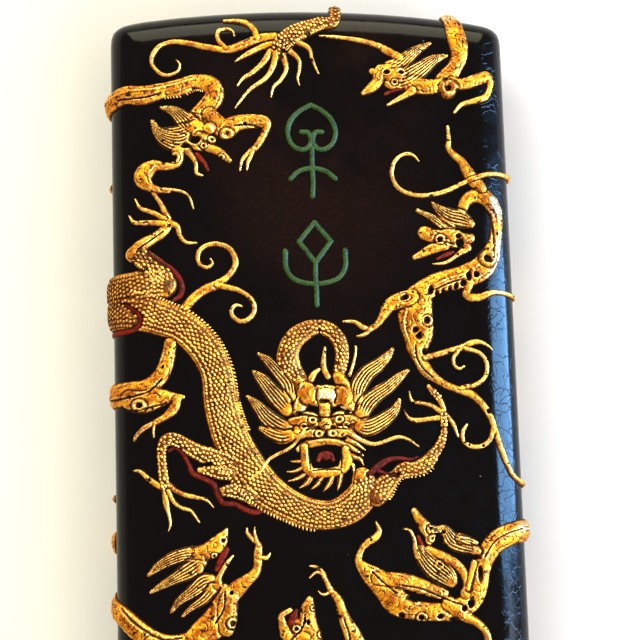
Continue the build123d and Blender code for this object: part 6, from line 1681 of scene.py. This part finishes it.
@dataclass
class PlateCoat:
    """Small plates set in rows along strokes: the scales of a body, or a fringe of beads.

    Args:
        relief: the face that they stand on.
        tree: the plates tree.
        finish: their material.
        length: of a plate, along the stroke, mm.
        width: of a plate, mm.
        rise: half thickness of a plate, mm.
        tilt: lean of a plate away from the surface, radians.
        step: mm from row to row.
        gap: mm between plates in a row.
    """

    relief: Relief
    tree: bpy.types.NodeTree
    finish: bpy.types.Material
    length: float = 0.92
    width: float = 0.72
    rise: float = 0.2
    tilt: float = 0.16
    step: float = 0.66
    gap: float = 0.8
    SCALE_SIZE = 0.94  # size of a scale, as a share of a full plate
    LOWEST_BED = 0.3  # mm that a figure stands at least where it carries scales
    COVER = 0.02  # mm that another figure may stand over it there

    def rows(self, name: str, stroke: Stroke, fill: float = 0.78, narrowest: float = 0.9) -> np.ndarray:
        """Staggered rows across a stroke.

        Args:
            name: the figure that the plates keep to.
            stroke: its centreline.
            fill: share of the width that they cover.
            narrowest: half width below which there are none.

        Returns:
            rows of u, v, heading u, heading v, size.
        """
        line, walked = self.walk(stroke)
        found = []
        for number, at in enumerate(np.arange(0.3, walked[-1], self.step)):
            u, v, half = (np.interp(at, walked, line[:, k]) for k in range(3))
            if half < narrowest:
                continue
            ahead = np.array([np.subtract(*np.interp((at + 0.2, at - 0.2), walked, line[:, k]))
                              for k in (0, 1)])
            ahead /= max(np.hypot(*ahead), 1e-9)
            count = max(2, round(2 * half * fill / self.gap)) + number % 2
            for offset in (np.arange(count) - (count - 1) / 2) * (2 * half * fill / max(count - 0.5, 1)):
                found.append((u - ahead[1] * offset, v + ahead[0] * offset, *ahead, self.SCALE_SIZE))
        rows = np.array(found).reshape(-1, 5)
        own = self.relief.owner_height(name, rows[:, 0], rows[:, 1])
        top = self.relief.height_at(rows[:, 0], rows[:, 1])
        return rows[(own > self.LOWEST_BED) & (own > top - self.COVER)]

    def walk(self, stroke: Stroke) -> tuple[np.ndarray, np.ndarray]:
        """A stroke's line on the skin, and how far along it each of its points is."""
        line = self.relief.panel.skin.unroll(smooth_line(stroke, 0.15))
        return line, np.concatenate([[0], np.cumsum(np.hypot(*np.diff(line[:, :2], axis=0).T))])

    def fringe(self, stroke: Stroke, side: int, first: float, last: float, pitch: float) -> np.ndarray:
        """Plates one after another along one edge of a stroke, each pointing away from it.

        Args:
            stroke: its centreline.
            side: 1 for the edge on the left of its direction, -1 for the other.
            first: mm along the stroke where the fringe starts.
            last: mm along it where it ends.
            pitch: mm from plate to plate.

        Returns:
            rows of u, v, heading u, heading v, size.
        """
        path, walked = self.walk(stroke)
        at = np.arange(first, min(last, walked[-1]), pitch)
        u, v, half = (np.interp(at, walked, path[:, k]) for k in range(3))
        ahead = np.stack([np.gradient(u), np.gradient(v)], 1)
        ahead /= np.maximum(np.hypot(*ahead.T)[:, None], 1e-9)
        out = side * np.stack([-ahead[:, 1], ahead[:, 0]], 1)
        lean = out + 0.45 * ahead
        lean /= np.hypot(*lean.T)[:, None]
        size = np.clip(half / 2, 0.6, 1.0)
        return np.stack([u + out[:, 0] * (half + 0.02), v + out[:, 1] * (half + 0.02), *lean.T, size], 1)

    def build(self, name: str, rows: np.ndarray, seat: float = 0.0) -> bpy.types.Object:
        """Sets a plate on each row's point.

        Args:
            name: of the piece.
            rows: u, v, heading u, heading v, size.
            seat: mm from the relief's surface to the middle of a plate.

        Returns:
            the piece.
        """
        panel = self.relief.panel
        u, v = rows[:, 0], rows[:, 1]
        smooth = blur(panel.ground, 0.3 / panel.pitch)
        r, c = panel.nearest(u, v)
        lean = 0.5 * abs(math.sin(self.tilt)) * self.length
        top = Carving.TALLEST - self.rise * rows[:, 4] - lean * rows[:, 4]
        height = np.minimum(np.maximum(smooth[r, c], 0.0) + seat, top)
        here = panel.skin.place(u, v, height, panel.side)
        out = panel.skin.place(u, v, height + 1, panel.side) - here
        ahead = panel.skin.place(u + 0.05 * rows[:, 2], v + 0.05 * rows[:, 3], height, panel.side) - here
        mesh = bpy.data.meshes.new(name + "_points")
        mesh.from_pydata((here * MM).tolist(), [], [])
        for label, kind, values in (("facing", "FLOAT_VECTOR", out), ("heading", "FLOAT_VECTOR", ahead),
                                    ("size", "FLOAT", rows[:, 4])):
            layer = mesh.attributes.new(label, kind, "POINT")
            layer.data.foreach_set("vector" if kind == "FLOAT_VECTOR" else "value",
                                   values.astype(np.float32).ravel())
        return grow(name, mesh, self.tree, {
            "Length": self.length * MM, "Width": self.width * MM, "Rise": self.rise * MM, "Tilt": self.tilt,
            "Jitter": 0.1, "Seed": 7, "Material": self.finish})


@dataclass
class DrawnLines:
    """Round raised lines that follow drawn strokes: whiskers and the green ornaments.

    Args:
        relief: the face that they lie on.
        tree: the lines tree.
        finish: their material.
        seat: share of the half width that the line's middle stands above what it lies on.
        wear_and_highlight: how much paler the whole line is made by rubbing, the same all along it.
    """

    relief: Relief
    tree: bpy.types.NodeTree
    finish: bpy.types.Material
    seat: float = -0.2
    wear_and_highlight: float = 0.4
    STAGGER = 0.004  # mm that each stroke stands over the one before, where they cross

    def build(self, name: str, strokes: list[Stroke]) -> bpy.types.Object:
        """Draws the strokes as one piece."""
        panel = self.relief.panel
        smooth = blur(panel.ground, 0.35 / panel.pitch)
        points, edges, widths = [], [], []
        for number, stroke in enumerate(strokes):
            line = panel.skin.unroll(smooth_line(stroke, 0.2))
            line = self.rounded(line)
            r, c = panel.nearest(line[:, 0], line[:, 1])
            height = np.maximum(smooth[r, c], 0) + self.seat * line[:, 2] + self.STAGGER * number
            height = np.minimum(height, Carving.TALLEST - line[:, 2])
            start = len(points)
            points += (panel.skin.place(line[:, 0], line[:, 1], height, panel.side) * MM).tolist()
            edges += [(i, i + 1) for i in range(start, len(points) - 1)]
            widths += (line[:, 2] * MM).tolist()
        mesh = bpy.data.meshes.new(name + "_chains")
        mesh.from_pydata(points, edges, [])
        mesh.attributes.new("half_width", "FLOAT", "POINT").data.foreach_set("value", widths)
        return grow(name, mesh, self.tree, {"Sides": 12, "Wear": self.wear_and_highlight, "Material": self.finish})

    @staticmethod
    def rounded(line: np.ndarray) -> np.ndarray:
        """Adds a round nose to each end of a line of u, v, half width."""
        for _ in range(2):
            line = line[::-1]
            back = line[0] - line[1]
            back[:2] /= max(np.hypot(*back[:2]), 1e-9)
            nose = [(*(line[0, :2] + back[:2] * line[0, 2] * math.sin(a)), line[0, 2] * math.cos(a))
                    for a in (1.5, 1.25, 0.95, 0.6, 0.3)]
            line = np.vstack([nose, line])
        return line


class Shows(Enum):
    """Where a panel's light shows: in gloss, on matt surfaces, or both."""

    GLOSS = 1
    MATT = 2
    BOTH = 3


@dataclass
class Studio:
    """Pale floor, soft lights and the camera.

    Args:
        eye: where the camera stands, m.
        tilt: how it is turned, radians.
        lens: focal length on a 36 mm sensor.
    """

    eye: tuple[float, float, float] = (-0.027055, -0.015827, 0.275033)
    tilt: tuple[float, float, float] = (0.1333, -0.1016, -0.0311)
    lens: float = 78.75

    def build(self) -> None:
        """Sets up everything that isn't the stick."""
        scene = bpy.context.scene
        scene.view_settings.view_transform = "Standard"
        self.floor()
        self.sky()
        self.panel("key", (-0.42, 0.50, 0.62), (0.60, 0.60), 6.0, (1.0, 0.97, 0.92), Shows.MATT)
        self.panel("fill", (0.50, -0.55, 0.60), (0.70, 0.70), 5.0, (1.0, 0.98, 0.95))
        self.panel("blue_window", (0.58, 0.05, 0.34), (0.19, 0.80), 42.0, (0.22, 0.52, 1.0), Shows.GLOSS)
        self.panel("grey_wall", (0.55, -0.22, 0.30), (0.26, 0.5), 8.0, (0.62, 0.72, 0.85), Shows.GLOSS)
        self.panel("far_wall", (-0.05, 0.70, 0.42), (0.9, 0.60), 20.0, (0.80, 0.78, 0.56), Shows.GLOSS)
        camera = bpy.data.objects.new("camera", bpy.data.cameras.new("camera"))
        camera.data.lens, camera.data.sensor_width = self.lens, 36.0
        camera.data.clip_start, camera.data.clip_end = 0.005, 20.0
        camera.location, camera.rotation_euler = self.eye, self.tilt
        scene.collection.objects.link(camera)
        scene.camera = camera

    def panel(self, name: str, place: tuple[float, float, float], size: tuple[float, float], power: float,
              colour: tuple[float, float, float], shows: Shows = Shows.BOTH) -> None:
        """Hangs a soft panel of light that faces the stick.

        Args:
            name: of the light.
            place: where it hangs, m.
            size: width and height, m.
            power: W.
            colour: of its light.
            shows: where its light shows.
        """
        light = bpy.data.lights.new(name, "AREA")
        light.shape, light.size, light.size_y = "RECTANGLE", *size
        light.energy, light.color = power, colour
        lamp = bpy.data.objects.new(name, light)
        lamp.location = place
        lamp.rotation_euler = (-Vector(place)).to_track_quat("-Z", "Y").to_euler()
        lamp.visible_diffuse = shows is not Shows.GLOSS
        lamp.visible_glossy = shows is not Shows.MATT
        bpy.context.scene.collection.objects.link(lamp)

    def sky(self) -> None:
        """Even dim light from all round."""
        world = bpy.data.worlds.new("studio")
        world.use_nodes = True
        world.node_tree.nodes["Background"].inputs[0].default_value = (1.0, 0.98, 0.94, 1)
        world.node_tree.nodes["Background"].inputs[1].default_value = 0.60
        bpy.context.scene.world = world

    def floor(self) -> None:
        """Lays the paper, gently raised far off like a studio sweep."""
        reach = np.linspace(-1.6, 1.6, 33)
        x, y = np.meshgrid(reach, reach)
        z = np.clip(np.hypot(x, y) - 1.0, 0, None) ** 2 * 0.5
        index = np.arange(x.size).reshape(x.shape)
        points = np.stack([x, y, z], -1).reshape(-1, 3) / MM
        paper = StudioFloor("pale_paper", 0.8, 0.2).material()
        to_object("paper_floor", points, grid_quads(index), paper)


@dataclass
class InkStick:
    """The whole stick.

    Args:
        skin: the skin of its cake.
        front_pitch: mm between relief points on the face.
        back_pitch: the same on the back.
    """

    skin: Skin
    front_pitch: float = 0.135
    back_pitch: float = 0.19

    def finishes(self) -> dict[str, bpy.types.Material]:
        """The material of each slot."""
        return {
            "ink_lacquer": InkLacquer("black_lacquered_ink", 0.13, 0.08).material(),
            "gold_relief": Gilding("gilded_relief", 0.38, 0.3).material(),
            "gold_hair": Gilding("gilded_hair", 0.38, 0.3, gold=(0.84, 0.33, 0.011, 1),
                                 amber=(0.52, 0.115, 0.003, 1), flaking=0.70).material(),
            "red_pigment": Pigment("red_painted_relief", 0.55, 0.06, (0.24, 0.012, 0.002, 1),
                                   (0.05, 0.004, 0.001, 1), (0.52, 0.10, 0.02, 1)).material(),
            "green_pigment": Pigment("green_painted_line", 0.5, 0.12).material(),
        }

    def build(self) -> None:
        """Builds and dresses every piece."""
        finishes = self.finishes()
        adopt(Cake(self.skin).build(finishes["ink_lacquer"]), "ink_lacquer", "ink_cake")
        plates, lines = plate_tree(), line_tree()
        for side, pitch in ((Side.FRONT, self.front_pitch), (Side.BACK, self.back_pitch)):
            relief = Relief(Panel(self.skin, side, pitch), finishes)
            relief.carve()
            for piece, slot, nodes in relief.build():
                adopt(piece, slot, *nodes)
            prefix = "" if side is Side.FRONT else "back_"
            self.scales(relief, plates, prefix)
            whiskers = DrawnLines(relief, lines, finishes["gold_hair"], 0.35, 0.55)
            adopt(whiskers.build(f"gilt_{prefix}whiskers", GREAT_DRAGON["whiskers"]), "gold_hair",
                  f"{prefix}great_dragon_whiskers")
            if side is Side.FRONT:
                green = DrawnLines(relief, lines, finishes["green_pigment"], -0.25, 0.5)
                for name, strokes in (("upper_ornament", UPPER_ORNAMENT), ("lower_ornament", LOWER_ORNAMENT)):
                    adopt(green.build(f"green_{name}", strokes), "green_pigment", name)

    def scales(self, relief: Relief, plates: bpy.types.NodeTree, prefix: str) -> None:
        """Coats the great dragon with scales, and edges it with fringes."""
        gold = relief.finishes["gold_relief"]
        coat = PlateCoat(relief, plates, gold)
        table = figures()
        rows = [coat.rows(name, stroke, 0.82, narrowest) for name, (count, narrowest) in SCALED.items()
                for stroke in table[name].strokes[:count]]
        adopt(coat.build(f"gilt_{prefix}scales", np.concatenate(rows), 0.03), "gold_relief")
        beads = PlateCoat(relief, plates, gold, 1.0, 0.5, 0.34, 0.0)
        edges = [beads.fringe(table[name].strokes[number], side, first, last, 0.56)
                 for name, number, side, first, last in FRINGES]
        adopt(beads.build(f"gilt_{prefix}fringe", np.concatenate(edges), -0.05), "gold_relief")


def main() -> None:
    """Builds the stick and the studio round it."""
    logging.basicConfig(level=logging.INFO, format="%(message)s")
    InkStick(Skin.of_frame()).build()
    Studio().build()


if __name__ == "__main__":
    main()
